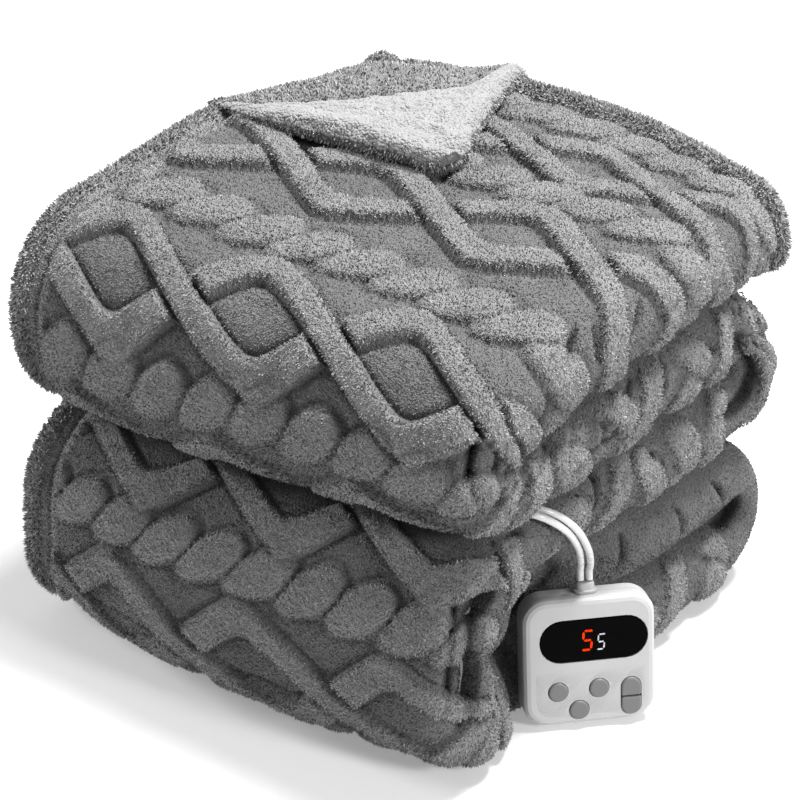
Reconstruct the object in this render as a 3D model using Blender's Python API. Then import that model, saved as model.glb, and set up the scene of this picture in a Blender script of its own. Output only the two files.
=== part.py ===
"""An electric heated throw, folded into a stack, with its hand control.

The throw is one sheet. It is folded in half twice across its width, which makes a strip of
four layers, and the strip is then folded along its length into five legs. One corner of its
top layer is turned back. The hand control stands on the floor and leans towards the stack,
and its two leads run up from it into a fold.

Metres, +Z up. X runs across the strip, from its free hems to its folded side, and Y runs
from the front folds to the back. The origin is on the floor, under the middle of the whole
object.
"""

from math import asin, cos, degrees, pi, radians, sin, sqrt

import bmesh
import bpy
import numpy as np
from mathutils import Matrix, Vector

# ---------------------------------------------------------------- layers of the throw
LAYER = 0.0114  # one layer of the sheet, plush and sherpa together
LAYER_GAP = 0.0014  # between the layers of the strip
STRIP = 4 * LAYER + 3 * LAYER_GAP  # thickness of the four-layer strip
LEG_GAP = 0.0022  # between two legs of the strip
BEAD = 0.0085  # radius of the rolled hem
HEM_SET_BACK = 0.027  # how far the second layer's hem lies inside the top layer's
STEP_RISE = LAYER + LAYER_GAP  # from one layer's middle to the next
TURN_SET_BACK = 0.0185  # how far the first fold's turn lies inside the top layer's hem
FLAT_FOOT = 0.03  # below this height the stack keeps its even shape, fading out
INNER_MIDDLE = -0.02  # x of the faces' points between the layers
HEM_BORDER = 0.024  # plain border beside the hem
PATTERN_START = 0.008

# ---------------------------------------------------------------- extents of the stack
# All places below are from a point on the floor inside the stack; build() moves the origin.
ORIGIN = (-0.0066, 0.0138, 0.0)
LEFT = -0.185  # the side of the free hems
RIGHT = 0.150  # the folded side
HEM_BACK = 0.206  # where the top leg's hem ends
FRONT_UPPER = -0.155
FRONT_LOWER = -0.160
BACK_MIDDLE = 0.168
BACK_LOWER = 0.165
TUCKED_END = -0.098  # where the strip's last leg ends, inside the tall front bend
SMALL_BEND = (STRIP + LEG_GAP) / 2  # middle radius of a bend between two neighbours
TALL_BEND = 0.036  # middle radius of each turn of the tall lower front bend
TALL_RISE = 2 * (STRIP + LEG_GAP) - 2 * TALL_BEND  # its upright stretch
TOP_LEG_Z = STRIP / 2 + 4 * (STRIP + LEG_GAP)

# Zones of the strip's outline, and the columns of the divisions below.
TOP, LOBE, HEM, UNDER, INNER = range(5)

STRETCHES = (
    # name, length or None for a bend, turn in degrees, radius, pinch, divisions for each zone
    ("top_leg", HEM_BACK - FRONT_UPPER - STRIP / 2 - SMALL_BEND, 0, 0, 0, (28, 20, 12, 5, 5)),
    ("upper_front", None, 180, SMALL_BEND, 0, (12, 12, 10, 5, 4)),
    ("second_leg", BACK_MIDDLE - FRONT_UPPER - STRIP - 2 * SMALL_BEND, 0, 0, 0, (4, 14, 4, 4, 3)),
    ("middle_back", None, -180, SMALL_BEND, 0.22, (5, 8, 5, 10, 3)),
    (
        "third_leg",
        BACK_MIDDLE - FRONT_LOWER - STRIP - SMALL_BEND - TALL_BEND,
        0,
        0,
        0,
        (4, 14, 4, 4, 4),
    ),
    ("tall_front_high", None, 90, TALL_BEND, 0, (7, 6, 5, 3, 2)),
    ("tall_front", TALL_RISE, 0, 0, 0, (4, 3, 3, 2, 1)),
    ("tall_front_low", None, 90, TALL_BEND, 0, (7, 6, 5, 3, 2)),
    (
        "floor_leg",
        BACK_LOWER - FRONT_LOWER - STRIP - SMALL_BEND - TALL_BEND,
        0,
        0,
        0,
        (3, 14, 3, 3, 6),
    ),
    ("lower_back", None, 180, SMALL_BEND, 0.22, (8, 8, 6, 5, 3)),
    ("tucked_leg", BACK_LOWER - TUCKED_END - STRIP / 2 - SMALL_BEND, 0, 0, 0, (3, 12, 3, 3, 5)),
)
EXPOSED_A = (("top_leg", "upper_front"), ("tall_front_high", "tall_front_low"), ("lower_back",) * 2)
EXPOSED_B = (("middle_back",) * 2,)
FADE = 0.02  # length over which the raised pattern dies out into a covered stretch

# The top leg's hem: a rolled bead across the end of the strip.
END_PROFILE = (
    # distance from the end, rise of the outer faces
    (0.000, -0.0030),
    (0.004, 0.0015),
    (0.009, 0.0032),
    (0.014, 0.0020),
    (0.019, -0.0008),
    (0.025, 0.0),
)
END_TRIM = 0.0025  # how far a covered layer's end is rounded back
END_INNER = 0.006

# The turned corner: a triangle of the sheet, its sherpa up, over the top of the stack.
FLAP_SIDE_ROOT = (-0.186, 0.036)  # its fold meets the free side here
FLAP_HEM_ROOT = (-0.070, 0.200)  # and the top leg's hem here
FLAP_TIP = (-0.012, 0.046)
FLAP_ROWS = (
    # part of the way from the fold to the tip, height of its middle over the top face, half
    # its thickness between the hems, half its thickness at the hems
    (-0.03, 0.0020, 0.0050, 0.0050),
    (0.03, 0.0085, 0.0078, 0.0078),
    (0.10, 0.0130, 0.0074, 0.0082),
    (0.20, 0.0140, 0.0062, 0.0082),
    (0.34, 0.0140, 0.0056, 0.0082),
    (0.50, 0.0138, 0.0054, 0.0081),
    (0.66, 0.0136, 0.0056, 0.0080),
    (0.79, 0.0134, 0.0062, 0.0078),
    (0.88, 0.0131, 0.0068, 0.0072),
    (0.925, 0.0128, 0.0058, 0.0058),
    (0.95, 0.0125, 0.0030, 0.0030),
)
FLAP_COLUMNS = 15  # points across each face of a row
FLAP_HEM = 0.020  # width of its thicker hem
FLAP_SWELL = 0.125  # length over which it rises from its side root

# ---------------------------------------------------------------- hand control
CONTROL_FOOT = (0.1595, -0.0498, 0.0036)  # middle of the lower edge of its front
CONTROL_TURN = 47.6  # its width's direction, from +X
CONTROL_LEAN = 10.5  # how far its top leans back
CONTROL_SIDE = 0.078
CONTROL_DEPTH = 0.0205
CONTROL_CORNER = 0.014
CONTROL_EDGE = 0.0042  # rounding of the shell's edges
CONTROL_PARTING = 0.0095  # depth at which the front and back shells meet
SEAM = 0.0003  # gap between two pieces
WINDOW = (0.0025, 0.052, 0.0640, 0.0265)  # middle across, middle height, width, height
WINDOW_DEPTH = 0.0013
BUTTON_PROUD = 0.0013
BUTTON_DEPTH = 0.0030
BUTTON_POCKET = 0.0044
BUTTON_CLEAR = 0.00035
BUTTONS = (
    # name, middle across, middle height, width, height, lower corners, upper corners
    ("button_left", -0.0188, 0.0212, 0.0116, 0.0116, 0.0058, 0.0058),
    ("button_right", 0.0053, 0.0216, 0.0116, 0.0116, 0.0058, 0.0058),
    ("button_low", -0.0066, 0.0090, 0.0116, 0.0116, 0.0058, 0.0058),
    ("button_up", 0.0242, 0.02085, 0.0117, 0.0113, 0.0010, 0.0058),
    ("button_down", 0.0242, 0.0089, 0.0117, 0.0113, 0.0058, 0.0010),
)
ROCKER = (0.0242, 0.014875, 0.0117, 0.02325)  # the two last buttons' common pocket
GLAND_ROWS = (
    # height over the shell, width, depth
    (0.0003, 0.0140, 0.0100),
    (0.0016, 0.0140, 0.0100),
    (0.0022, 0.0112, 0.0080),
    (0.0058, 0.0104, 0.0074),
    (0.0064, 0.0090, 0.0062),
)
LEAD_RADIUS = 0.0021
LEAD_SPREAD = 0.0026  # from the gland's middle to a lead's
LEAD_STEP = 0.009
LEAD_CLEAR = 0.0006  # from the gland to a lead's end
LEAD_STRAIGHT = 0.003  # its first stretch, square to the gland
LEADS = (
    # name, side of the gland, points after the gland
    (
        "lead_a",
        -1,
        (
            (0.1425, -0.0357, 0.0965),
            (0.1475, -0.0490, 0.1160),
            (0.1495, -0.0630, 0.1340),
            (0.1480, -0.0755, 0.1465),
            (0.1435, -0.0835, 0.1530),
            (0.1365, -0.0880, 0.1552),
        ),
    ),
    (
        "lead_b",
        1,
        (
            (0.1460, -0.0310, 0.0965),
            (0.1505, -0.0434, 0.1145),
            (0.1515, -0.0567, 0.1330),
            (0.1490, -0.0685, 0.1465),
            (0.1435, -0.0765, 0.1530),
            (0.1365, -0.0810, 0.1550),
        ),
    ),
)

# ---------------------------------------------------------------- raised pattern
CABLE_PITCH = 0.036
CABLE_LEAF = 0.058  # length of one lobe of the cable
CABLE_SWAY = 0.010  # how far a lobe's two ends lie off the cable's middle
CABLE_HALF = 0.0095  # half the width of a lobe
CABLE_HEIGHT = 0.0050
ZIGZAG_PERIOD = 0.209  # two diamonds
BAND_HALF = 0.009
BAND_HEIGHT = 0.0042
BAND_ROUND = 0.965  # how sharp a zigzag's turns are, up to 1
CROSSING_GAP = 0.0125  # where the lower band stops, from the middle of the upper one
PATTERN_ROWS = (
    # kind, distance of its middle from the top leg's hem, half its height, first turn, lean
    ("cable", 0.047, 0.018, 0.010, 0.0),
    ("diamonds", 0.104, 0.026, 0.022, 0.006),
    ("cable", 0.153, 0.018, 0.014, 0.0),
    ("diamonds", 0.207, 0.029, 0.037, 0.0),
    ("cable", 0.277, 0.018, 0.015, 0.0),
    ("diamonds", 0.341, 0.032, 0.066, 0.012),
    ("cable", 0.394, 0.018, 0.006, 0.0),
    ("diamonds", 0.454, 0.032, 0.050, 0.006),
    ("cable", 0.514, 0.018, 0.020, 0.0),
    ("diamonds", 0.574, 0.032, 0.080, 0.006),
    ("cable", 0.634, 0.018, 0.004, 0.0),
    ("diamonds", 0.692, 0.030, 0.034, 0.006),
    ("cable", 0.750, 0.018, 0.018, 0.0),
    ("diamonds", 0.808, 0.030, 0.060, 0.006),
    ("cable", 0.866, 0.018, 0.010, 0.0),
    ("diamonds", 0.925, 0.032, 0.084, 0.012),
    ("cable", 0.983, 0.018, 0.012, 0.0),
    ("diamonds", 1.044, 0.032, 0.094, 0.012),
    ("cable", 1.104, 0.018, 0.008, 0.0),
    ("diamonds", 1.162, 0.030, 0.040, 0.006),
    ("cable", 1.220, 0.018, 0.016, 0.0),
    ("diamonds", 1.280, 0.030, 0.070, 0.006),
    ("cable", 1.340, 0.018, 0.010, 0.0),
)


def smooth(t):
    """0 below 0, 1 above 1, and a soft step between."""
    t = np.clip(t, 0.0, 1.0)
    return t * t * (3 - 2 * t)


# ---------------------------------------------------------------- the strip's outline
def outline():
    """The strip's closed outline as rows (x, m, out_x, out_m, zone, u, side, t).

    x and m are the place across the strip and through its thickness, m being positive on
    side A. out_x and out_m point out of the cloth. u is the distance over the plush from
    side A's free hem, and side runs from 1 on side A over the folded lobe to -1 on side B.
    t counts the turns and the straight layers between them, from the top layer's hem to the
    second layer's, alike on the cloth's two faces.
    """
    half = LAYER / 2
    mid_d = STRIP / 2 - half
    mid_a = mid_d - STEP_RISE
    mid_b = mid_a - STEP_RISE
    mid_c = mid_b - STEP_RISE
    inner_turn = (mid_a + mid_b) / 2
    hem_turn = (mid_b + mid_c) / 2
    lobe_x = RIGHT - STRIP / 2
    turn_x = LEFT + TURN_SET_BACK
    hem_x = LEFT + BEAD
    neck_x = hem_x + sqrt(BEAD**2 - half**2)
    neck = degrees(asin(half / BEAD))
    second_hem = LEFT + HEM_SET_BACK
    lobe_u = lobe_x - LEFT
    rows = []

    def line(x0, x1, m, out, zone, steps, t, side=0.0, u0=0.0):
        for i in range(steps):
            x = x0 + (x1 - x0) * i / steps
            at = t[0] + (t[1] - t[0]) * i / steps
            rows.append((x, m, 0.0, out, zone, u0 + abs(x - x0), side, at))

    def inner(x0, x1, m, out, t):
        part = (INNER_MIDDLE - x0) / (x1 - x0)
        for x, at in ((x0, t[0]), (INNER_MIDDLE, t[0] + (t[1] - t[0]) * part)):
            rows.append((x, m, 0.0, out, INNER, 0.0, 0.0, at))

    def arc(x, m, radius, start, end, out, zone, steps, t, u0=None):
        for i in range(steps):
            a = radians(start + (end - start) * i / steps)
            u, side = (0.0, 0.0) if u0 is None else (u0 + radius * abs(a - radians(start)), sin(a))
            at = t[0] + (t[1] - t[0]) * i / steps
            place = (x + radius * cos(a), m + radius * sin(a))
            rows.append((*place, out * cos(a), out * sin(a), zone, u, side, at))

    line(neck_x, lobe_x, STRIP / 2, 1, TOP, 26, (0, 1), 1, neck_x - LEFT)
    arc(lobe_x, 0, STRIP / 2, 90, -90, 1, LOBE, 7, (1, 2), lobe_u)
    line(lobe_x, turn_x, -STRIP / 2, -1, UNDER, 7, (2, 3), -1, lobe_u + pi * STRIP / 2)
    arc(turn_x, hem_turn, STEP_RISE / 2 + half, 270, 90, 1, HEM, 4, (3, 4))
    inner(turn_x, lobe_x, mid_b + half, 1, (4, 5))
    arc(lobe_x, inner_turn, LAYER_GAP / 2, -90, 90, -1, INNER, 2, (5, 6))
    inner(lobe_x, second_hem, mid_a - half, -1, (6, 7))
    arc(second_hem, mid_a, half, 270, 90, 1, INNER, 3, (7, 7))
    inner(second_hem, lobe_x, mid_a + half, 1, (7, 6))
    arc(lobe_x, inner_turn, STEP_RISE / 2 + half, 90, -90, 1, INNER, 3, (6, 5))
    inner(lobe_x, turn_x, mid_b - half, -1, (5, 4))
    arc(turn_x, hem_turn, LAYER_GAP / 2, 90, 270, -1, INNER, 2, (4, 3))
    inner(turn_x, lobe_x, mid_c + half, 1, (3, 2))
    arc(lobe_x, 0, STRIP / 2 - LAYER, -90, 90, -1, INNER, 4, (2, 1))
    inner(lobe_x, neck_x, mid_d - half, -1, (1, 0))
    arc(hem_x, mid_d, BEAD, -neck, neck - 360, 1, HEM, 7, (0, 0))
    return rows


# ---------------------------------------------------------------- the strip's route
class Route:
    """The middle line of the strip, from the top leg's hem to the tucked end."""

    def __init__(self):
        place = np.array((HEM_BACK, TOP_LEG_Z))
        heading, start, turned = pi, 0.0, 0.0
        self.rows = []
        self.spans = {}
        for name, length, turn, radius, pinch, _ in STRETCHES:
            bend = radians(turn)
            if length is None:
                length = radius * abs(bend)
            self.rows.append((start, length, place, heading, bend / length, turned, pinch))
            self.spans[name] = (start, start + length)
            place = self.on_stretch(self.rows[-1], length)[0]
            start += length
            heading += bend
            turned += bend
        self.length = start

    @staticmethod
    def on_stretch(row, along):
        """Place and outward direction (both as y, z) at a distance along one stretch."""
        _, _, place, heading, curve, _, _ = row
        ahead = heading + curve * along
        out = np.array((sin(ahead), -cos(ahead)))
        if curve == 0.0:
            return place + along * np.array((cos(heading), sin(heading))), out
        centre = place - np.array((sin(heading), -cos(heading))) / curve
        return centre + out / curve, out

    def at(self, s):
        """Place, outward direction, turning so far and pinch at distance s."""
        row = max((r for r in self.rows if r[0] <= s + 1e-9), key=lambda r: r[0])
        along = min(s - row[0], row[1])
        place, out = self.on_stretch(row, along)
        pinch = row[6] * sin(pi * along / row[1]) ** 2
        return place, out, row[5] + row[4] * along, pinch, row[4]

    def showing(self, s, spans):
        """1 where the strip's face shows, fading to 0 at the ends of the given spans."""
        best = 0.0
        for first, last in spans:
            low, high = self.spans[first][0], self.spans[last][1]
            before = 1.0 if low == 0.0 else (s - low) / FADE
            best = max(best, float(smooth(min(before, (high - s) / FADE))))
        return best


# ---------------------------------------------------------------- raised knit pattern
def cable(u, w):
    """Height of a rope-like cable of slanted, overlapping lobes, from 0 to 1."""
    height = 0.0
    first = np.floor(u / CABLE_PITCH)
    for k in (-1, 0, 1, 2):
        along = (u - (first + k) * CABLE_PITCH) / (CABLE_LEAF / 2)
        if abs(along) >= 1:
            continue
        middle = -CABLE_SWAY * sin(pi * along / 2)
        across = (w - middle) / (CABLE_HALF * (1 - along**2) ** 0.4)
        if abs(across) < 1:
            height = max(height, (1 - across**2) ** 0.5 * (0.82 - 0.18 * along))
    return height


def diamonds(u, w, half):
    """Height of a chain of diamonds: two crossing zigzag bands, from 0 to 1.

    Both bands turn where u is 0. At a crossing the band whose w grows with u goes over the
    other, which stops short of it.
    """
    wave = 2 * pi * u / ZIGZAG_PERIOD
    middle = half * asin(BAND_ROUND * cos(wave)) / asin(BAND_ROUND)
    lean = sqrt(1 + (4 * half / ZIGZAG_PERIOD) ** 2)
    over, under = abs(w + middle) / lean, abs(w - middle) / lean
    if sin(wave) < 0:
        over, under = under, over
    stops = smooth((over - CROSSING_GAP) / 0.003)
    return max(smooth(2 * (1 - over / BAND_HALF)), stops * smooth(2 * (1 - under / BAND_HALF)))


def knit(u, v):
    """Height of the raised pattern at a distance u over the sheet and v along it."""
    height = 0.0
    for kind, middle, half, first, lean in PATTERN_ROWS:
        w = v - middle
        along = u - first - lean * w / half
        if kind == "cable" and abs(w) < half + CABLE_HALF:
            height = max(height, CABLE_HEIGHT * cable(along, w))
        elif kind == "diamonds" and abs(w) < half + 2 * BAND_HALF:
            height = max(height, BAND_HEIGHT * diamonds(along, w, half))
    return height


# ---------------------------------------------------------------- how the stack settles
PUSHES = (
    # centre (x, y, z), reach (x, y, z), push (x, y, z)
    ((-0.10, -0.14, 0.16), (0.17, 0.20, 0.10), (0.000, 0.000, -0.016)),  # slack left half
    ((-0.03, -0.16, 0.02), (0.15, 0.10, 0.09), (0.000, -0.017, 0.000)),  # foot of the front
    ((0.16, -0.13, 0.23), (0.07, 0.09, 0.06), (0.000, 0.000, -0.014)),  # near corner droops
    ((-0.02, 0.04, 0.27), (0.20, 0.12, 0.09), (0.000, 0.000, 0.013)),  # crown of the top
    ((-0.16, -0.02, 0.27), (0.10, 0.12, 0.09), (-0.006, 0.000, 0.010)),  # its left side
    ((0.17, 0.22, 0.24), (0.10, 0.08, 0.08), (-0.010, -0.033, -0.008)),  # far corner, rounded
    ((-0.19, 0.21, 0.26), (0.07, 0.08, 0.08), (0.000, -0.006, -0.012)),  # under the turned corner
    ((-0.20, -0.12, 0.06), (0.08, 0.12, 0.07), (0.007, 0.005, 0.000)),  # lower left end
    ((0.16, -0.14, 0.15), (0.07, 0.09, 0.04), (0.000, 0.000, 0.006)),  # fold over the leads
    ((0.15, 0.03, 0.05), (0.08, 0.16, 0.08), (-0.009, 0.000, 0.000)),  # lower folds on the right
    ((0.15, -0.05, 0.05), (0.09, 0.046, 0.055), (-0.046, 0.000, 0.000)),  # behind the hand control
    ((0.15, -0.18, 0.01), (0.07, 0.060, 0.060), (-0.007, 0.007, 0.000)),  # near foot
    ((-0.20, -0.11, 0.14), (0.06, 0.10, 0.05), (0.001, 0.002, -0.006)),  # its left shoulder
)


def settle(point):
    """Moves a point of the even stack to where the soft one lies, on or above the floor."""
    moved = np.array(point)
    lift = float(smooth(point[2] / FLAT_FOOT))
    for centre, reach, push in PUSHES:
        away = (np.array(point) - centre) / reach
        moved = moved + np.array(push) * (1.0, 1.0, lift) * np.exp(-(away @ away))
    moved[2] = max(moved[2], 0.0)
    return moved


# ---------------------------------------------------------------- the folded throw
def end_rise(route, zone, s):
    """How far a face stands out or in near the strip's two ends."""
    if zone != INNER:
        marks, rises = zip(*END_PROFILE)
        rise = float(np.interp(s, marks, rises))
    else:
        rise = -END_TRIM * max(0.0, 1 - s / END_INNER)
    return rise - END_TRIM * max(0.0, 1 - (route.length - s) / END_INNER)


def cloth_point(route, row, s):
    """The settled place of one point of the outline at distance s along the strip."""
    x, m, out_x, out_m, zone, u, side, _ = row
    place, out, turned, pinch, curve = route.at(s)
    rise = end_rise(route, zone, s)
    if zone in (TOP, LOBE, UNDER):
        covered = 1 - route.showing(s, EXPOSED_A if side > 0 else EXPOSED_B)
        inside = smooth((u - HEM_BORDER) / PATTERN_START) * smooth((s - HEM_BORDER) / PATTERN_START)
        rise += knit(u, s + m * turned) * (1 - covered * smooth(abs(side))) * inside
    if zone == HEM:
        m = min(m, STRIP / 2 + (BEAD - LAYER / 2) * route.showing(s, EXPOSED_A))
    outer = STRIP / 2 if curve > 0 else -STRIP / 2
    m = outer + (m - outer) * (1 - pinch) + out_m * rise
    y, z = place + out * m
    return settle((x + out_x * rise, y, z))


def stations(route, zone):
    """Distances along the strip at which the points of one zone stand."""
    first = [mark for mark, _ in END_PROFILE] if zone != INNER else [0.0, END_INNER]
    marks = list(first)
    for name, *_, divisions in STRETCHES:
        low, high = max(route.spans[name][0], marks[-1]), route.spans[name][1]
        steps = divisions[zone]
        marks += [low + (high - low) * (i + 1) / steps for i in range(steps)]
    marks.insert(-1, route.length - END_INNER)
    return marks


def stitch(left, right):
    """Triangles between two neighbouring columns of (station, vertex index)."""
    i = k = 0
    triangles = []
    while i < len(left) - 1 or k < len(right) - 1:
        left_next = left[i + 1][0] if i < len(left) - 1 else np.inf
        right_next = right[k + 1][0] if k < len(right) - 1 else np.inf
        if left_next <= right_next:
            triangles.append((left[i][1], left[i + 1][1], right[k][1]))
            i += 1
        else:
            triangles.append((left[i][1], right[k + 1][1], right[k][1]))
            k += 1
    return triangles


def folded_throw():
    """One closed mesh of the strip with its four layers, along its whole route."""
    route = Route()
    rows = outline()
    points, columns, triangles = [], [], []
    for row in rows:
        column = []
        for s in stations(route, row[4]):
            column.append((s, len(points)))
            points.append(cloth_point(route, row, s))
        columns.append(column)
    for j, column in enumerate(columns):
        triangles += stitch(column, columns[(j + 1) % len(columns)])
    plush = next(j for j in range(len(rows)) if j and rows[j][7] < rows[j - 1][7])
    for end in (0, -1):
        ring = [(row[7], column[end][1]) for row, column in zip(rows, columns)]
        cap = stitch(ring[plush:][::-1], ring[:plush])
        triangles += [face[::-1] for face in cap] if end == 0 else cap
    return points, triangles


# ---------------------------------------------------------------- the turned corner
def turned_corner():
    """The flap's rings, from its root, sunk into the top of the stack, to its tip."""
    side, hem, tip = (np.array(p) for p in (FLAP_SIDE_ROOT, FLAP_HEM_ROOT, FLAP_TIP))
    top = TOP_LEG_Z + STRIP / 2
    rings = []
    for part, rise, middle, edge in FLAP_ROWS:
        left = side + (tip - side) * part
        right = hem + (tip - hem) * part
        width = np.linalg.norm(right - left)
        upper, lower = [], []
        for i in range(FLAP_COLUMNS):
            turn = pi * i / (FLAP_COLUMNS - 1)
            across = 0.5 - 0.5 * cos(turn) ** 3 * (0.35 + 0.65 * abs(cos(turn)))
            inset = min(across, 1 - across) * width
            half = middle + (edge - middle) * (1 - smooth((inset - 0.4 * FLAP_HEM) / FLAP_HEM))
            half *= sqrt(max(0.0, 1 - max(0.0, 1 - inset / edge) ** 2))
            x, y = left + (right - left) * across
            swell = 0.35 + 0.65 * smooth(np.hypot(x - side[0], y - side[1]) / FLAP_SWELL)
            upper.append(settle((x, y, top + swell * (rise + half))))
            if 0 < i < FLAP_COLUMNS - 1:
                lower.append(settle((x, y, top + swell * (rise - half))))
        rings.append(upper + lower[::-1])
    return rings


# ---------------------------------------------------------------- materials and objects
def material(name, colour, roughness, metallic=0.0):
    mat = bpy.data.materials.new(name)
    mat.use_nodes = True
    shader = mat.node_tree.nodes["Principled BSDF"]
    shader.inputs["Base Color"].default_value = (*colour, 1.0)
    shader.inputs["Roughness"].default_value = roughness
    shader.inputs["Metallic"].default_value = metallic
    return mat


def add_object(name, data, mat=None):
    obj = bpy.data.objects.new(name, data)
    bpy.context.collection.objects.link(obj)
    if mat is not None:
        data.materials.append(mat)
    return obj


def mesh_of(name, points, faces):
    mesh = bpy.data.meshes.new(name)
    mesh.from_pydata([tuple(p) for p in points], [], faces)
    mesh.shade_smooth()
    return mesh


def lofted(name, rings):
    """A closed mesh through rings with equal numbers of points, its normals outward."""
    count = len(rings[0])
    points = [p for ring in rings for p in ring]
    faces = []
    for k in range(len(rings) - 1):
        low = k * count
        for i in range(count):
            j = (i + 1) % count
            faces.append((low + i, low + j, low + count + j, low + count + i))
    faces.append(tuple(range(count))[::-1])
    faces.append(tuple(range(len(points) - count, len(points))))
    mesh = mesh_of(name, points, faces)
    tidied = bmesh.new()
    tidied.from_mesh(mesh)
    bmesh.ops.recalc_face_normals(tidied, faces=tidied.faces)
    tidied.to_mesh(mesh)
    tidied.free()
    return mesh


def rounded(width, height, low, high, steps=6):
    """Points of a rectangle about (0, 0) with rounded lower and upper corners."""
    points = []
    for k, (sx, sy, radius) in enumerate(((1, 1, high), (-1, 1, high), (-1, -1, low), (1, -1, low))):
        centre = (sx * (width / 2 - radius), sy * (height / 2 - radius))
        for i in range(steps + 1):
            a = radians(90 * (k + i / steps))
            points.append((centre[0] + radius * cos(a), centre[1] + radius * sin(a)))
    return points


# ---------------------------------------------------------------- the hand control
def control_frame():
    """Width along X, depth into the control along Y, height along Z."""
    foot = Matrix.Translation(CONTROL_FOOT)
    turn = Matrix.Rotation(radians(CONTROL_TURN), 4, "Z")
    return foot @ turn @ Matrix.Rotation(radians(-CONTROL_LEAN), 4, "X")


def shell(name, levels):
    """One half of the shell through (inset, depth) levels, flat where it meets the floor."""
    frame = control_frame()
    rings = []
    for inset, depth in levels:
        side = CONTROL_SIDE - 2 * inset
        corner = CONTROL_CORNER - inset
        ring = []
        for a, b in rounded(side, side, corner, corner, 8):
            place = frame @ Vector((a, depth, b + CONTROL_SIDE / 2))
            place.z = max(place.z, 0.0)
            ring.append(frame.inverted() @ place)
        rings.append(ring)
    return lofted(name, rings)


def edge_levels():
    """Insets and depths of the shell's rounded edge, from its face inward."""
    angles = [radians(k * 30) for k in range(4)]
    return [(CONTROL_EDGE * (1 - sin(a)), CONTROL_EDGE * (1 - cos(a))) for a in angles]


def plate(name, size, corners, levels):
    """A plate with rounded corners about (0, 0), through (inset, depth) levels."""
    rings = []
    for inset, depth in levels:
        low, high = (max(radius - inset, 0.0002) for radius in corners)
        outline_points = rounded(size[0] - 2 * inset, size[1] - 2 * inset, low, high)
        rings.append([(a, depth, b) for a, b in outline_points])
    return lofted(name, rings)


def gland():
    rings = []
    for height, width, depth in GLAND_ROWS:
        points = rounded(width, depth, depth * 0.45, depth * 0.45, 4)
        rings.append([(a, b + CONTROL_DEPTH / 2, CONTROL_SIDE + height) for a, b in points])
    return lofted("gland", rings)


def cut(target, cutters):
    """Takes each cutter out of the target."""
    for cutter in cutters:
        cutter.hide_render = True
        cutter.display_type = "WIRE"
        pocket = target.modifiers.new(cutter.name, "BOOLEAN")
        pocket.operation = "DIFFERENCE"
        pocket.solver = "EXACT"
        pocket.object = cutter


def build_control(materials):
    frame = control_frame()
    face = edge_levels()
    front_levels = face + [(0.0, CONTROL_PARTING - SEAM / 2)]
    back_levels = [(0.0, CONTROL_PARTING + SEAM / 2)]
    back_levels += [(inset, CONTROL_DEPTH - depth) for inset, depth in face[::-1]]
    front = add_object("control_front", shell("control_front", front_levels), materials["shell"])
    back = add_object("control_back", shell("control_back", back_levels), materials["shell"])
    front.matrix_world = frame
    back.matrix_world = frame
    across, up, width, height = WINDOW
    place = frame @ Matrix.Translation((across, 0, up))
    inset = SEAM
    size = (width - 2 * inset, height - 2 * inset)
    corners = (size[1] / 2 - 0.0002,) * 2
    levels = ((0.0006, 0.0), (0.0, 0.0005), (0.0, WINDOW_DEPTH - SEAM))
    window = add_object("control_window", plate("window", size, corners, levels), materials["glass"])
    window.matrix_world = place
    corners = (height / 2 - 0.0002,) * 2
    levels = ((0.0, -0.002), (0.0, WINDOW_DEPTH))
    cutters = [add_object("window_pocket", plate("window_pocket", WINDOW[2:], corners, levels))]
    cutters[0].matrix_world = place
    levels = ((0.0, -0.002), (0.0, BUTTON_POCKET))
    pockets = [row[1:] for row in BUTTONS[:3]] + [ROCKER + (0.0058, 0.0058)]
    for i, (across, up, width, height, low, high) in enumerate(pockets):
        size = (width + 2 * BUTTON_CLEAR, height + 2 * BUTTON_CLEAR)
        corners = (low + BUTTON_CLEAR, high + BUTTON_CLEAR)
        name = f"button_pocket_{i}"
        cutters.append(add_object(name, plate(name, size, corners, levels)))
        cutters[-1].matrix_world = frame @ Matrix.Translation((across, 0, up))
    cut(front, cutters)
    proud = BUTTON_PROUD
    levels = ((0.0011, -proud), (0.0004, -0.8 * proud), (0.0, -0.4 * proud), (0.0, BUTTON_DEPTH))
    for name, across, up, width, height, low, high in BUTTONS:
        mesh = plate(name, (width, height), (low, high), levels)
        button = add_object(name, mesh, materials["button"])
        button.matrix_world = frame @ Matrix.Translation((across, 0, up))
    add_object("gland", gland(), materials["gland"]).matrix_world = frame


# ---------------------------------------------------------------- the leads
def through(points):
    """Points a step apart on a smooth curve through the given ones."""
    ends = [2 * points[0] - points[1]] + points + [2 * points[-1] - points[-2]]
    fine = []
    for p0, p1, p2, p3 in zip(ends, ends[1:], ends[2:], ends[3:]):
        for t in np.linspace(0, 1, 24, endpoint=False):
            turn = 2 * p1 + (p2 - p0) * t + (2 * p0 - 5 * p1 + 4 * p2 - p3) * t**2
            fine.append((turn + (3 * p1 - p0 - 3 * p2 + p3) * t**3) / 2)
    fine.append(points[-1])
    along = np.cumsum([0.0] + [np.linalg.norm(b - a) for a, b in zip(fine, fine[1:])])
    marks = [0.0, *np.linspace(LEAD_STRAIGHT, along[-1], round(along[-1] / LEAD_STEP))]
    return [[float(np.interp(m, along, axis)) for axis in zip(*fine)] for m in marks]


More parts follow.
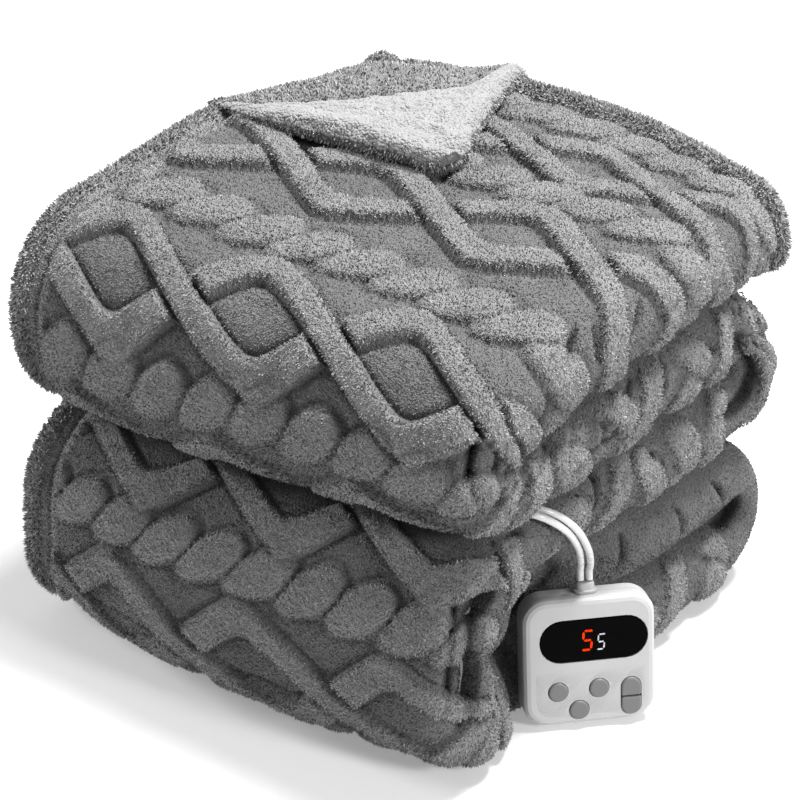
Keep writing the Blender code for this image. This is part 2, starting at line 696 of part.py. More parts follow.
def build_leads(mat):
    frame = control_frame()
    start = CONTROL_SIDE + GLAND_ROWS[-1][0] + LEAD_CLEAR
    for name, side, points in LEADS:
        exits = [
            frame @ Vector((side * LEAD_SPREAD, CONTROL_DEPTH / 2, start + rise)) for rise in (0, 0.006)
        ]
        route = through([np.array(p) for p in exits] + [np.array(p) for p in points])
        curve = bpy.data.curves.new(name, "CURVE")
        curve.dimensions = "3D"
        curve.bevel_depth = LEAD_RADIUS
        curve.bevel_resolution = 2
        curve.use_fill_caps = True
        spline = curve.splines.new("POLY")
        spline.points.add(len(route) - 1)
        for point, place in zip(spline.points, route):
            point.co = (*place, 1.0)
        add_object(name, curve, mat)


def build():
    for obj in list(bpy.data.objects):
        bpy.data.objects.remove(obj, do_unlink=True)
    materials = {
        "plush": material("plush", (0.25, 0.25, 0.25), 0.95),
        "shell": material("shell", (0.62, 0.62, 0.62), 0.45),
        "glass": material("glass", (0.01, 0.01, 0.01), 0.08),
        "button": material("button", (0.21, 0.21, 0.21), 0.5),
        "gland": material("gland", (0.38, 0.38, 0.38), 0.5),
        "lead": material("lead", (0.6, 0.6, 0.6), 0.4),
    }
    blanket = add_object("blanket", mesh_of("blanket", *folded_throw()), materials["plush"])
    flap = add_object("turned_corner", lofted("turned_corner", turned_corner()), materials["plush"])
    flap.hide_render = True
    flap.display_type = "WIRE"
    join = blanket.modifiers.new("turned_corner", "BOOLEAN")
    join.operation = "UNION"
    join.solver = "EXACT"
    join.object = flap
    build_control(materials)
    build_leads(materials["lead"])
    for obj in bpy.data.objects:
        obj.matrix_world = Matrix.Translation(-Vector(ORIGIN)) @ obj.matrix_world


build()
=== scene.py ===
from math import asin, cos, degrees, pi, radians, sin, sqrt

import bmesh
import bpy
import numpy as np
from mathutils import Matrix, Vector
from mathutils.bvhtree import BVHTree


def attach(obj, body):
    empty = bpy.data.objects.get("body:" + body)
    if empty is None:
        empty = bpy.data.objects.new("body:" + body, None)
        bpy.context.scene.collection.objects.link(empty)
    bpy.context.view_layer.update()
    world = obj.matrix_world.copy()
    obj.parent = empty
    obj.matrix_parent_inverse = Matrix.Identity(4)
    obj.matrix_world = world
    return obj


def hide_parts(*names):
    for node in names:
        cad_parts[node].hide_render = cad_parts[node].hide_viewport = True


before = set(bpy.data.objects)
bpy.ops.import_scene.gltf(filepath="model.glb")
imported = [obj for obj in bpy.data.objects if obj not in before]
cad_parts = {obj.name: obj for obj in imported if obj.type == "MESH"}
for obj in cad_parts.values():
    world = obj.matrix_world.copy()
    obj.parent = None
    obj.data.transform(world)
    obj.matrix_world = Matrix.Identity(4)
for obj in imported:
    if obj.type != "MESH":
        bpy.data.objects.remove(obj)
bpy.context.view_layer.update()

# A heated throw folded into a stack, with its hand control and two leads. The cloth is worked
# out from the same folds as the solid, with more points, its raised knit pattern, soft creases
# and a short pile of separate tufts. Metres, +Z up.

ROOT = "throw_and_control"
ORIGIN = np.array((-0.0066, 0.0138, 0.0))  # of the frame, in the numbers used below

# ---- sizes of the folded throw
LAYER = 0.0114  # thickness of the cloth, plush and sherpa together
LAYER_GAP = 0.0014
STRIP = 4 * LAYER + 3 * LAYER_GAP  # the cloth folded lengthwise into four layers
LEG_GAP = 0.0022
BEAD = 0.0085  # radius of the rounded hem along the strip's left side
HEM_SET_BACK = 0.027  # of the strip's inner hem from its left side
STEP_RISE = LAYER + LAYER_GAP
TURN_SET_BACK = 0.0185  # of the strip's inner fold from its left side
FLAT_FOOT = 0.03  # height up to which the stack stays flat on the floor
INNER_MIDDLE = -0.02  # where the long inner faces have one more column
HEM_BORDER = 0.024  # width of the plain hem
BORDER_SHIFT = 0.003  # how far inside the hem's width its crease is
BORDER_WIDTH = 0.0022  # of the crease between the hem and the pattern
BORDER_DEPTH = 0.0026
# Painted shade: the hem's crease and the soft creases darken the cloth's tone by these shares of their
# depth.
BORDER_SHADE = 0.0045  # how much lower it counts for the cloth's shade
CREASE_SHADE = 0.35  # share of a crease's depth that counts for it
PATTERN_START = 0.008  # distance in which the pattern grows beside the hem
LEFT = -0.185
RIGHT = 0.150
HEM_BACK = 0.206
FRONT_UPPER = -0.155
FRONT_LOWER = -0.160
BACK_MIDDLE = 0.168
BACK_LOWER = 0.165
TUCKED_END = -0.098
SMALL_BEND = (STRIP + LEG_GAP) / 2
TALL_BEND = 0.036
TALL_RISE = 2 * (STRIP + LEG_GAP) - 2 * TALL_BEND
TOP_LEG_Z = STRIP / 2 + 4 * (STRIP + LEG_GAP)

TOP, LOBE, HEM, UNDER, INNER = range(5)

# Steps between the points along the strip, for each of the five zones.
STEP_TOP = (0.0022, 0.0024, 0.003, 0.02, 0.03)
STEP_BEND = (0.00112, 0.0016, 0.0027, 0.012, 0.016)
STEP_HIGH = (0.0014, 0.0018, 0.0027, 0.012, 0.016)
STEP_FRONT = (0.0021, 0.0022, 0.0027, 0.012, 0.016)
STEP_LEG = (0.027, 0.0025, 0.0035, 0.03, 0.04)
STEP_MIDDLE = (0.012, 0.003, 0.004, 0.0045, 0.02)
STEP_LOWER = (0.0045, 0.003, 0.0035, 0.012, 0.02)

STRETCHES = (
    # name, length (None for a bend), turn in degrees, radius, pinch, steps
    ("top_leg", HEM_BACK - FRONT_UPPER - STRIP / 2 - SMALL_BEND, 0, 0, 0, STEP_TOP),
    ("upper_front", None, 180, SMALL_BEND, 0, STEP_BEND),
    ("second_leg", BACK_MIDDLE - FRONT_UPPER - STRIP - 2 * SMALL_BEND, 0, 0, 0, STEP_LEG),
    ("middle_back", None, -180, SMALL_BEND, 0.22, STEP_MIDDLE),
    ("third_leg", BACK_MIDDLE - FRONT_LOWER - STRIP - SMALL_BEND - TALL_BEND, 0, 0, 0, STEP_LEG),
    ("tall_front_high", None, 90, TALL_BEND, 0, STEP_HIGH),
    ("tall_front", TALL_RISE, 0, 0, 0, STEP_FRONT),
    ("tall_front_low", None, 90, TALL_BEND, 0, STEP_HIGH),
    ("floor_leg", BACK_LOWER - FRONT_LOWER - STRIP - SMALL_BEND - TALL_BEND, 0, 0, 0, STEP_LEG),
    ("lower_back", None, 180, SMALL_BEND, 0.22, STEP_LOWER),
    ("tucked_leg", BACK_LOWER - TUCKED_END - STRIP / 2 - SMALL_BEND, 0, 0, 0, STEP_LEG),
)
# First and last of the stretches that show the strip's side A, and its side B.
EXPOSED_A = (("top_leg", "upper_front"), ("tall_front_high", "tall_front_low"), ("lower_back",) * 2)
EXPOSED_B = (("middle_back",) * 2,)
FADE = 0.02  # distance in which the detail of a shown stretch fades out

# Distances from the strip's first end, and how far the outer faces rise there.
END_MARKS = (0.0, 0.003, 0.007, 0.011, 0.015, 0.019, 0.022, 0.024, 0.028)
END_RISES = (-0.003, 0.001, 0.004, 0.0052, 0.0046, 0.002, -0.0022, -0.0024, 0.0)
END_TRIM = 0.0025  # how far the hidden faces draw in at the strip's ends
END_INNER = 0.006  # distance in which they do

PUSHES = (
    # soft sags and swells of the stack: centre, reach and push, each x, y, z
    ((-0.10, -0.14, 0.16), (0.17, 0.20, 0.10), (0, 0, -0.016)),
    ((-0.03, -0.16, 0.02), (0.15, 0.10, 0.09), (0, -0.017, 0)),
    ((0.16, -0.13, 0.23), (0.07, 0.09, 0.06), (0, 0, -0.014)),
    ((-0.02, 0.04, 0.27), (0.20, 0.12, 0.09), (0, 0, 0.013)),
    ((-0.16, -0.02, 0.27), (0.10, 0.12, 0.09), (-0.006, 0, 0.010)),
    ((0.17, 0.22, 0.24), (0.10, 0.08, 0.08), (-0.010, -0.033, -0.008)),
    ((-0.19, 0.21, 0.26), (0.07, 0.08, 0.08), (0, -0.006, -0.012)),
    ((-0.20, -0.12, 0.06), (0.08, 0.12, 0.07), (0.007, 0.005, 0)),
    ((0.16, -0.14, 0.15), (0.07, 0.09, 0.04), (0, 0, 0.006)),
    ((0.15, 0.03, 0.05), (0.08, 0.16, 0.08), (-0.009, 0, 0)),
    ((0.15, -0.05, 0.05), (0.09, 0.046, 0.055), (-0.046, 0, 0)),
    ((0.15, -0.18, 0.01), (0.07, 0.060, 0.060), (-0.007, 0.007, 0)),
    ((-0.20, -0.11, 0.14), (0.06, 0.10, 0.05), (0.001, 0.002, -0.006)),
)

# ---- raised pattern
CABLE_PITCH = 0.036
CABLE_SLANT = 0.58
CABLE_LONG = 0.0262
CABLE_SHORT = 0.0140
CABLE_HEIGHT = 0.0064
CABLE_HALF = 0.018  # half the height of a row of cable
LOBE_POWER = 2.4  # of the superellipse that a lobe's outline is
LOBE_TAPER = 0.18
LOBE_CREST = (0.86, 0.22)  # rise of a lobe's middle, and how much more it is at its upper end
ZIGZAG_PERIOD = 0.209
BAND_HALF = 0.009
BAND_HEIGHT = 0.0058
BAND_SLOPE = 0.0036
TRENCH = 0.0018  # depth of the crease beside a raised part
TRENCH_WIDTH = 0.0017
TRENCH_SHIFT = 0.0016  # how far outside the edge it is deepest
SEAM_DEPTH = 0.0034  # depth of the crease between two lobes of a cable
SEAM_WIDTH = 0.13
BAND_ROUND = 0.965
SIDE_CALM = 0.25  # how much lower the pattern is on the strip's rounded side
CROSSING_GAP = 0.0125
CABLES = (
    # distance of its middle from the top leg's hem, first turn
    (0.047, 0.01), (0.153, 0.014), (0.277, 0.015), (0.394, 0.006),
    (0.514, 0.02), (0.634, 0.004), (0.75, 0.018), (0.866, 0.01),
    (0.991, 0.012), (1.104, 0.008), (1.22, 0.016), (1.34, 0.01),
)
DIAMONDS = (
    # the same distance, half its height, first turn, lean
    (0.104, 0.026, 0.022, 0.006), (0.207, 0.029, 0.037, 0.0),
    (0.341, 0.032, 0.066, 0.012), (0.454, 0.032, 0.05, 0.006),
    (0.574, 0.032, 0.08, 0.006), (0.692, 0.03, 0.034, 0.006),
    (0.808, 0.03, 0.06, 0.006), (0.933, 0.032, 0.084, 0.012),
    (1.052, 0.032, 0.094, 0.012), (1.162, 0.03, 0.04, 0.006),
    (1.28, 0.03, 0.07, 0.006),
)

rng = np.random.default_rng(20)


def smooth(t):
    """From 0 to 1 with soft ends."""
    t = np.clip(t, 0.0, 1.0)
    return t * t * (3 - 2 * t)


def bell(away, width):
    return np.exp(-((away / width) ** 2))


def unit(vectors):
    return vectors / (np.linalg.norm(vectors, axis=-1, keepdims=True) + 1e-12)


def noise(points, size, seed=0):
    """Smooth value noise from -1 to 1 with features of the given size."""
    q = np.asarray(points) / size + 37.0 + 11.3 * seed
    cell = np.floor(q).astype(np.int64)
    f = q - cell
    f = f * f * (3 - 2 * f)
    total = 0.0
    for dx in (0, 1):
        for dy in (0, 1):
            for dz in (0, 1):
                c = cell + (dx, dy, dz)
                h = c[..., 0] * 73856093 ^ c[..., 1] * 19349663 ^ c[..., 2] * 83492791 ^ seed * 2654435
                h = (h * 1103515245 + 12345) & 0x7FFFFFFF
                h = ((h >> 8) * 1664525 + 1013904223) & 0x7FFFFFFF
                value = (h >> 7 & 0xFFFF) / 32767.5 - 1
                wx = f[..., 0] if dx else 1 - f[..., 0]
                wy = f[..., 1] if dy else 1 - f[..., 1]
                wz = f[..., 2] if dz else 1 - f[..., 2]
                total = total + value * wx * wy * wz
    return total


# ---- the strip's outline and route
def outline():
    """Columns x, m, out_x, out_m, zone, u, side, t of the strip's closed outline."""
    half = LAYER / 2
    mid_d = STRIP / 2 - half
    mid_a = mid_d - STEP_RISE
    mid_b = mid_a - STEP_RISE
    mid_c = mid_b - STEP_RISE
    inner_turn = (mid_a + mid_b) / 2
    hem_turn = (mid_b + mid_c) / 2
    lobe_x = RIGHT - STRIP / 2
    turn_x = LEFT + TURN_SET_BACK
    hem_x = LEFT + BEAD
    neck_x = hem_x + sqrt(BEAD**2 - half**2)
    neck = degrees(asin(half / BEAD))
    second_hem = LEFT + HEM_SET_BACK
    lobe_u = lobe_x - LEFT
    rows = []

    def line(x0, x1, m, out, zone, steps, t, side, u0):
        for i in range(steps):
            x = x0 + (x1 - x0) * i / steps
            at = t[0] + (t[1] - t[0]) * i / steps
            rows.append((x, m, 0.0, out, zone, u0 + abs(x - x0), side, at))

    def inner(x0, x1, m, out, t):
        part = (INNER_MIDDLE - x0) / (x1 - x0)
        for x, at in ((x0, t[0]), (INNER_MIDDLE, t[0] + (t[1] - t[0]) * part)):
            rows.append((x, m, 0.0, out, INNER, 0.0, 0.0, at))

    def arc(x, m, radius, start, end, out, zone, steps, t, u0=None):
        for i in range(steps):
            a = radians(start + (end - start) * i / steps)
            u, side = (0.0, 0.0) if u0 is None else (u0 + radius * abs(a - radians(start)), sin(a))
            at = t[0] + (t[1] - t[0]) * i / steps
            place = (x + radius * cos(a), m + radius * sin(a))
            rows.append((*place, out * cos(a), out * sin(a), zone, u, side, at))

    line(neck_x, lobe_x, STRIP / 2, 1, TOP, 150, (0, 1), 1, neck_x - LEFT)
    arc(lobe_x, 0, STRIP / 2, 90, -90, 1, LOBE, 36, (1, 2), lobe_u)
    line(lobe_x, turn_x, -STRIP / 2, -1, UNDER, 50, (2, 3), -1, lobe_u + pi * STRIP / 2)
    arc(turn_x, hem_turn, STEP_RISE / 2 + half, 270, 90, 1, HEM, 10, (3, 4))
    inner(turn_x, lobe_x, mid_b + half, 1, (4, 5))
    arc(lobe_x, inner_turn, LAYER_GAP / 2, -90, 90, -1, INNER, 2, (5, 6))
    inner(lobe_x, second_hem, mid_a - half, -1, (6, 7))
    arc(second_hem, mid_a, half, 270, 90, 1, INNER, 5, (7, 7))
    inner(second_hem, lobe_x, mid_a + half, 1, (7, 6))
    arc(lobe_x, inner_turn, STEP_RISE / 2 + half, 90, -90, 1, INNER, 4, (6, 5))
    inner(lobe_x, turn_x, mid_b - half, -1, (5, 4))
    arc(turn_x, hem_turn, LAYER_GAP / 2, 90, 270, -1, INNER, 2, (4, 3))
    inner(turn_x, lobe_x, mid_c + half, 1, (3, 2))
    arc(lobe_x, 0, STRIP / 2 - LAYER, -90, 90, -1, INNER, 6, (2, 1))
    inner(lobe_x, neck_x, mid_d - half, -1, (1, 0))
    arc(hem_x, mid_d, BEAD, -neck, neck - 360, 1, HEM, 16, (0, 0))
    return np.array(rows)


def on_stretch(row, along):
    """Place (y, z) and outward direction at distances along one stretch."""
    place, heading, curve = row["place"], row["heading"], row["curve"]
    ahead = heading + curve * along
    out = np.stack((np.sin(ahead), -np.cos(ahead)), -1)
    if curve == 0.0:
        return place + np.multiply.outer(along, (cos(heading), sin(heading))), out
    centre = place - np.array((sin(heading), -cos(heading))) / curve
    return centre + out / curve, out


def make_route():
    """Where each stretch of the strip starts, its heading and its curve."""
    place = np.array((HEM_BACK, TOP_LEG_Z))
    heading, start, turned = pi, 0.0, 0.0
    rows = []
    for name, length, turn, radius, pinch, step in STRETCHES:
        bend = radians(turn)
        if length is None:
            length = radius * abs(bend)
        row = {"name": name, "start": start, "length": length, "place": place}
        row.update(heading=heading, curve=bend / length, turned=turned, pinch=pinch, step=step)
        rows.append(row)
        place = on_stretch(row, np.array(length))[0]
        start += length
        heading += bend
        turned += bend
    return rows


ROUTE = make_route()
SPANS = {row["name"]: (row["start"], row["start"] + row["length"]) for row in ROUTE}
ROUTE_LENGTH = ROUTE[-1]["start"] + ROUTE[-1]["length"]


def along_route(s):
    """Place, outward direction, turn so far, pinch and curve at distances s."""
    place, out = np.zeros((len(s), 2)), np.zeros((len(s), 2))
    turned, pinch, curve = np.zeros(len(s)), np.zeros(len(s)), np.zeros(len(s))
    for row in ROUTE:
        here = s >= row["start"] - 1e-9
        along = np.minimum(s[here] - row["start"], row["length"])
        place[here], out[here] = on_stretch(row, along)
        turned[here] = row["turned"] + row["curve"] * along
        pinch[here] = row["pinch"] * np.sin(pi * along / row["length"]) ** 2
        curve[here] = row["curve"]
    return place, out, turned, pinch, curve


def showing(s, spans):
    """How much each distance s is inside the spans of named stretches, from 0 to 1."""
    best = np.zeros(len(s))
    for first, last in spans:
        low, high = SPANS[first][0], SPANS[last][1]
        before = np.ones(len(s)) if low == 0.0 else (s - low) / FADE
        best = np.maximum(best, smooth(np.minimum(before, (high - s) / FADE)))
    return best


def cable(u, w):
    """Height of a rope-like cable of slanted, overlapping lobes, its edge distance and its seams."""
    highest, second = np.zeros_like(u), np.zeros_like(u)
    edge = np.full_like(u, -1.0)
    first = np.floor(u / CABLE_PITCH)
    for k in (-1, 0, 1, 2):
        du = u - (first + k) * CABLE_PITCH
        along = (du * cos(CABLE_SLANT) - w * sin(CABLE_SLANT)) / CABLE_LONG
        across = (du * sin(CABLE_SLANT) + w * cos(CABLE_SLANT)) / CABLE_SHORT
        across = across / (1 + LOBE_TAPER * np.clip(along, -1, 1))
        reach = (np.abs(along) ** LOBE_POWER + np.abs(across) ** LOBE_POWER) ** (1 / LOBE_POWER)
        rise = np.sqrt(np.clip(1 - reach**2, 0, 1)) * (LOBE_CREST[0] + LOBE_CREST[1] * along)
        edge = np.maximum(edge, (1 - reach) * CABLE_SHORT)
        second = np.maximum(second, np.minimum(highest, rise))
        highest = np.maximum(highest, rise)
    seam = bell(highest - second, SEAM_WIDTH) * smooth(second / 0.3)
    return highest, edge, seam


def diamonds(u, w, half):
    """Distance inside the edge of two crossing zigzag bands. The lower one stops at a crossing."""
    wave = 2 * pi * u / ZIGZAG_PERIOD
    middle = half * np.arcsin(BAND_ROUND * np.cos(wave)) / asin(BAND_ROUND)
    lean = sqrt(1 + (4 * half / ZIGZAG_PERIOD) ** 2)
    one, other = np.abs(w + middle) / lean, np.abs(w - middle) / lean
    over = np.where(np.sin(wave) < 0, other, one)
    under = np.where(np.sin(wave) < 0, one, other)
    return np.maximum(BAND_HALF - over, np.minimum(BAND_HALF - under, over - CROSSING_GAP))


def knit(u, v):
    """Height of the raised pattern at distances u over the sheet and v along it.

    Beside a raised part, and between a cable's lobes, it is below 0 in a narrow crease.
    """
    u, v = np.broadcast_arrays(u, v)
    height, trench = np.zeros(u.shape), np.zeros(u.shape)
    for middle, *shape in CABLES + DIAMONDS:
        is_cable = len(shape) == 1
        half, first, lean = (CABLE_HALF, shape[0], 0.0) if is_cable else shape
        near = np.abs(v - middle) < half + 2.3 * BAND_HALF
        w = (v - middle)[near]
        along = u[near] - first - lean * w / half
        if is_cable:
            rise, edge, seam = cable(along, w)
            rise = CABLE_HEIGHT * rise - SEAM_DEPTH * seam
        else:
            edge = diamonds(along, w, half)
            rise = BAND_HEIGHT * smooth(edge / BAND_SLOPE + 0.35)
        height[near] = np.maximum(height[near], rise)
        trench[near] = np.maximum(trench[near], bell(edge + TRENCH_SHIFT, TRENCH_WIDTH))
    return height - TRENCH * trench


def settle(points):
    """The stack's soft sags and swells. Nothing goes below the floor."""
    lift = smooth(points[..., 2] / FLAT_FOOT)
    moved = points.copy()
    for centre, reach, push in PUSHES:
        away = (points - centre) / reach
        pull = np.exp(-(away**2).sum(-1))
        moved[..., 0] += push[0] * pull
        moved[..., 1] += push[1] * pull
        moved[..., 2] += push[2] * pull * lift
    moved[..., 2] = np.maximum(moved[..., 2], 0.0)
    return moved


def end_rise(zone, s):
    """The rounded hem at the strip's first end, and the drawn-in layers at both."""
    shown = np.interp(s, END_MARKS, END_RISES)
    hidden = -END_TRIM * np.clip(1 - s / END_INNER, 0, None)
    rise = np.where(zone[:, None] != INNER, shown[None, :], hidden[None, :])
    return rise - END_TRIM * np.clip(1 - (ROUTE_LENGTH - s) / END_INNER, 0, None)[None, :]


CREASES = (
    # in millimetres: s and u of one end, s and u of the other, half width, depth
    (324, 322, 344, 327, 3.4, 8.0),  # the gathers at the near corner
    (344, 327, 357, 334, 3.0, 6.0),
    (330, 340, 352, 347, 2.8, 6.0),
    (352, 347, 370, 344, 2.8, 4.5),
    (318, 356, 366, 357, 2.8, 5.5),
    (290, 344, 302, 362, 2.8, 5.0),
    (424, 373, 399, 362, 2.8, 4.5),
    (399, 362, 380, 346, 2.8, 4.5),
    (442, 370, 424, 352, 2.8, 4.5),
    (429, 349, 502, 349, 2.2, 3.6),
    (372, 30, 371, 288, 1.6, 2.6),  # along the foot of the upper front
    (371, 288, 359, 330, 1.8, 3.0),
    (1010, 50, 1016, 300, 1.8, 3.0),  # along the foot of the lower front
    (253, 325, 277, 338, 2.8, 4.5),  # the top leg's side
    (242, 330, 247, 346, 2.8, 4.0),
    (204, 334, 216, 346, 2.8, 4.0),
    (162, 341, 190, 349, 2.8, 4.0),
    (478, 374, 462, 352, 3.0, 4.5),  # the second leg's side
    (500, 372, 476, 350, 3.0, 4.5),
    (527, 370, 522, 350, 3.0, 4.5),
    (560, 372, 575, 355, 3.0, 4.5),
    (612, 368, 563, 347, 2.8, 4.0),
    (593, 354, 646, 334, 8.0, 7.0),  # the hollow end of the middle bend
    (646, 334, 697, 343, 8.0, 8.0),
    (697, 343, 722, 341, 5.0, 6.0),
    (742, 330, 730, 364, 3.0, 5.0),  # the third leg's side
    (833, 320, 838, 346, 3.0, 5.5),
    (806, 330, 826, 344, 3.0, 5.0),
    (780, 337, 803, 334, 3.0, 5.0),
    (789, 328, 783, 346, 3.0, 4.0),
    (780, 358, 772, 343, 3.0, 4.0),
    (920, 322, 906, 328, 3.0, 5.0),  # the lower front's right end
    (922, 330, 938, 341, 3.6, 7.0),
    (936, 333, 981, 341, 9.0, 15.0),
    (981, 341, 1006, 339, 9.0, 14.0),
    (945, 319, 960, 325, 3.0, 5.0),
    (960, 325, 994, 325, 3.0, 5.0),
    (1284, 375, 1305, 373, 6.0, 6.0),  # the hollow end of the lower bend
    (1305, 373, 1327, 362, 7.0, 7.0),
    (1401, 336, 1394, 362, 3.0, 4.5),  # the tucked leg's side
    (1353, 353, 1362, 336, 3.0, 4.5),
    (1451, 332, 1453, 358, 3.0, 4.5),
)


def crease(s, u):
    """How deep the soft creases are at distances s along the strip and u around it."""
    depth = np.zeros(np.broadcast(s, u).shape)
    for s0, u0, s1, u1, width, deep in np.array(CREASES) / 1000:
        ds, du = s1 - s0, u1 - u0
        part = ((s - s0) * ds + (u - u0) * du) / (ds * ds + du * du)
        near = np.clip(part, 0, 1)
        away = np.hypot(s - s0 - near * ds, u - u0 - near * du)
        fade = 0.35 + 0.65 * np.sin(pi * (0.1 + 0.8 * near))  # shallower at both ends
        depth += deep * fade * bell(away, 0.75 * width)
    return depth


def is_plush(zone):
    return (zone == TOP) | (zone == LOBE) | (zone == UNDER)


def inside_hems(u, s):
    return smooth((u - HEM_BORDER) / PATTERN_START) * smooth((s - HEM_BORDER) / PATTERN_START)


def raised(zone, u, side, s):
    """Height of the pattern at distances u around the strip and s along it."""
    turned = along_route(s)[2]
    shown_a, shown_b = showing(s, EXPOSED_A), showing(s, EXPOSED_B)
    covered = 1 - np.where(side > 0, shown_a, shown_b)
    to_under = smooth((1 - side) / 2) * np.where(zone == UNDER, 1.0, shown_b)
    v = s + turned * STRIP * (0.5 - to_under)
    height = knit(u, v) * (1 - covered * smooth((np.abs(side) - 0.6) / 0.36)) * inside_hems(u, s)
    height = np.where(height > 0, height * (1 - SIDE_CALM * smooth(2 * (1 - side))), height)
    return np.where(is_plush(zone), height, 0.0)


def cloth_grid(rows, s):
    """Settled places, the pattern's height and the shade for columns of the outline at stations s.

    The shade is the height that decides how light the cloth is. Creases and the hem's crease count for
    it too, so they are painted darker as shade.
    """
    x, m, out_x, out_m, zone, u, side = (rows[:, k, None] for k in range(7))
    place, out, _, pinch, curve = along_route(s)
    shown_a = showing(s, EXPOSED_A)
    pattern = raised(zone, u, side, s)
    plush = is_plush(zone)
    border = bell(u - HEM_BORDER + BORDER_SHIFT, BORDER_WIDTH) * (zone == TOP) * shown_a
    sunk = np.where(plush, crease(s[None, :], u), 0.0)
    rise = end_rise(rows[:, 4], s) + pattern - BORDER_DEPTH * border
    rise = rise - sunk * (1 - 0.6 * smooth(pattern / BAND_HEIGHT))
    bead = STRIP / 2 + (BEAD - LAYER / 2) * shown_a
    m = np.where(zone == HEM, np.minimum(m, bead), m)
    outer = np.where(curve > 0, STRIP / 2, -STRIP / 2)
    m = outer + (m - outer) * (1 - pinch) + out_m * rise
    y = place[None, :, 0] + out[None, :, 0] * m
    z = place[None, :, 1] + out[None, :, 1] * m
    edging = BAND_HEIGHT * np.where(plush, 1 - inside_hems(u, s), 1.0)
    # painted shade: creases and the hem's crease lower the shade, so the cloth is painted darker there
    shade = np.maximum(pattern, edging) - CREASE_SHADE * sunk - BORDER_SHADE * border
    return settle(np.stack((x + out_x * rise, y, z), -1)), pattern, shade


# ---- helpers for meshes and materials
def add_object(name, data, *mats):
    obj = bpy.data.objects.new(name, data)
    bpy.context.scene.collection.objects.link(obj)
    for mat in mats:
        data.materials.append(mat)
    return obj


def add_piece(name, data, slot, *mats):
    """An object that rides on the root body, with the given materials. Its slot is not used."""
    piece = add_object(name, data, *mats)
    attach(piece, ROOT)
    return piece


def bmesh_to(mesh, made):
    """Turns the faces outwards, writes them to the mesh and frees them."""
    bmesh.ops.recalc_face_normals(made, faces=made.faces)
    made.to_mesh(mesh)
    made.free()


def mesh_of(name, points, faces, tone=None):
    """A smooth mesh from an array of points and an array of faces with equal numbers of corners."""
    faces = np.asarray(faces, np.int32)
    mesh = bpy.data.meshes.new(name)
    mesh.vertices.add(len(points))
    mesh.vertices.foreach_set("co", np.asarray(points, np.float32).ravel())
    mesh.loops.add(faces.size)
    mesh.loops.foreach_set("vertex_index", faces.ravel())
    mesh.polygons.add(len(faces))
    mesh.polygons.foreach_set("loop_start", np.arange(0, faces.size, faces.shape[1], dtype=np.int32))
    mesh.update(calc_edges=True)
    mesh.shade_smooth()
    if tone is not None:
        attribute = mesh.attributes.new("tone", "FLOAT", "POINT")
        attribute.data.foreach_set("value", np.asarray(tone, np.float32).ravel())
    return mesh


def ring_pairs(count):
    """Each corner of a ring and the next one."""
    return [(k, (k + 1) % count) for k in range(count)]


def ring_faces(rings, count):
    """Quads between rings of count points each."""
    low = (np.arange(rings - 1) * count)[:, None]
    i = np.arange(count)[None, :]
    j = (i + 1) % count
    return np.stack((low + i, low + j, low + count + j, low + count + i), -1).reshape(-1, 4)


class Nodes:
    """A node material with a Principled shader, and short ways to add nodes to it."""

    def __init__(self, name, roughness, **sockets):
        self.mat = bpy.data.materials.new(name)
        self.mat.use_nodes = True
        self.tree = self.mat.node_tree
        self.shader = self.tree.nodes["Principled BSDF"]
        self.fill(self.shader, Roughness=roughness, **sockets)
        self.coords = self.add("TexCoord").outputs["Object"]

    def fill(self, node, **inputs):
        """Sets inputs of a node to values, or links them to outputs of other nodes."""
        for name, value in inputs.items():
            socket = node.inputs[name.replace("_", " ")]
            if isinstance(value, bpy.types.NodeSocket):
                self.tree.links.new(value, socket)
            else:
                socket.default_value = value

    def add(self, kind, **inputs):
        node = self.tree.nodes.new("ShaderNode" + kind)
        self.fill(node, **inputs)
        return node

    def into(self, **inputs):
        self.fill(self.shader, **inputs)

    def noise(self, scale, detail=2.0):
        node = self.add("TexNoise", Vector=self.coords, Scale=scale, Detail=detail)
        return node.outputs["Fac"]

    def tone(self):
        """How light each point is, from the mesh's tone: painted shade makes the pile darker at its
        roots and in the creases.
        """
        node = self.add("Attribute")
        node.attribute_name = "tone"
        return node.outputs["Fac"]

    def grains(self, scale):
        """Rounded grains, highest at their middles."""
        node = self.add("TexVoronoi", Vector=self.coords, Scale=scale)
        return self.ramp(node.outputs["Distance"], (0.0, grey(1.0)), (0.8, grey(0.0)))

    def ramp(self, value, *stops):
        node = self.add("ValToRGB", Fac=value)
        for element, (place, colour) in zip(node.color_ramp.elements, stops):
            element.position = place
            element.color = (*colour, 1.0)
        return node.outputs["Color"]

    def mottle(self, scale, low, high, detail=2.0, places=(0.3, 0.7)):
        """Soft patches from one grey to another."""
        return self.ramp(self.noise(scale, detail), (places[0], grey(low)), (places[1], grey(high)))

    def multiply(self, one, other):
        node = self.add("Mix")
        node.data_type = "RGBA"
        node.blend_type = "MULTIPLY"
        node.inputs["Factor"].default_value = 1.0
        self.tree.links.new(one, node.inputs[6])
        self.tree.links.new(other, node.inputs[7])
        return node.outputs[2]

    def bump(self, height, distance, strength):
        node = self.add("Bump", Height=height, Distance=distance, Strength=strength)
        self.into(Normal=node.outputs["Normal"])


def grey(value):
    return (value,) * 3


def fabric(name, low, high, fine, bump, sheen):
    """Cloth pile: broad and fine changes of tone, the mesh's tone with its painted shade, rounded
    grains as bump and a soft sheen.
    """
    nodes = Nodes(name, 0.95, Sheen_Weight=sheen, Sheen_Roughness=0.5)
    mixed = nodes.multiply(nodes.mottle(38.0, low, high, 3.0), nodes.mottle(fine, 0.80, 1.0))
    nodes.into(Base_Color=nodes.multiply(mixed, nodes.tone()))
    nodes.bump(nodes.grains(fine), bump, 0.9)
    return nodes.mat


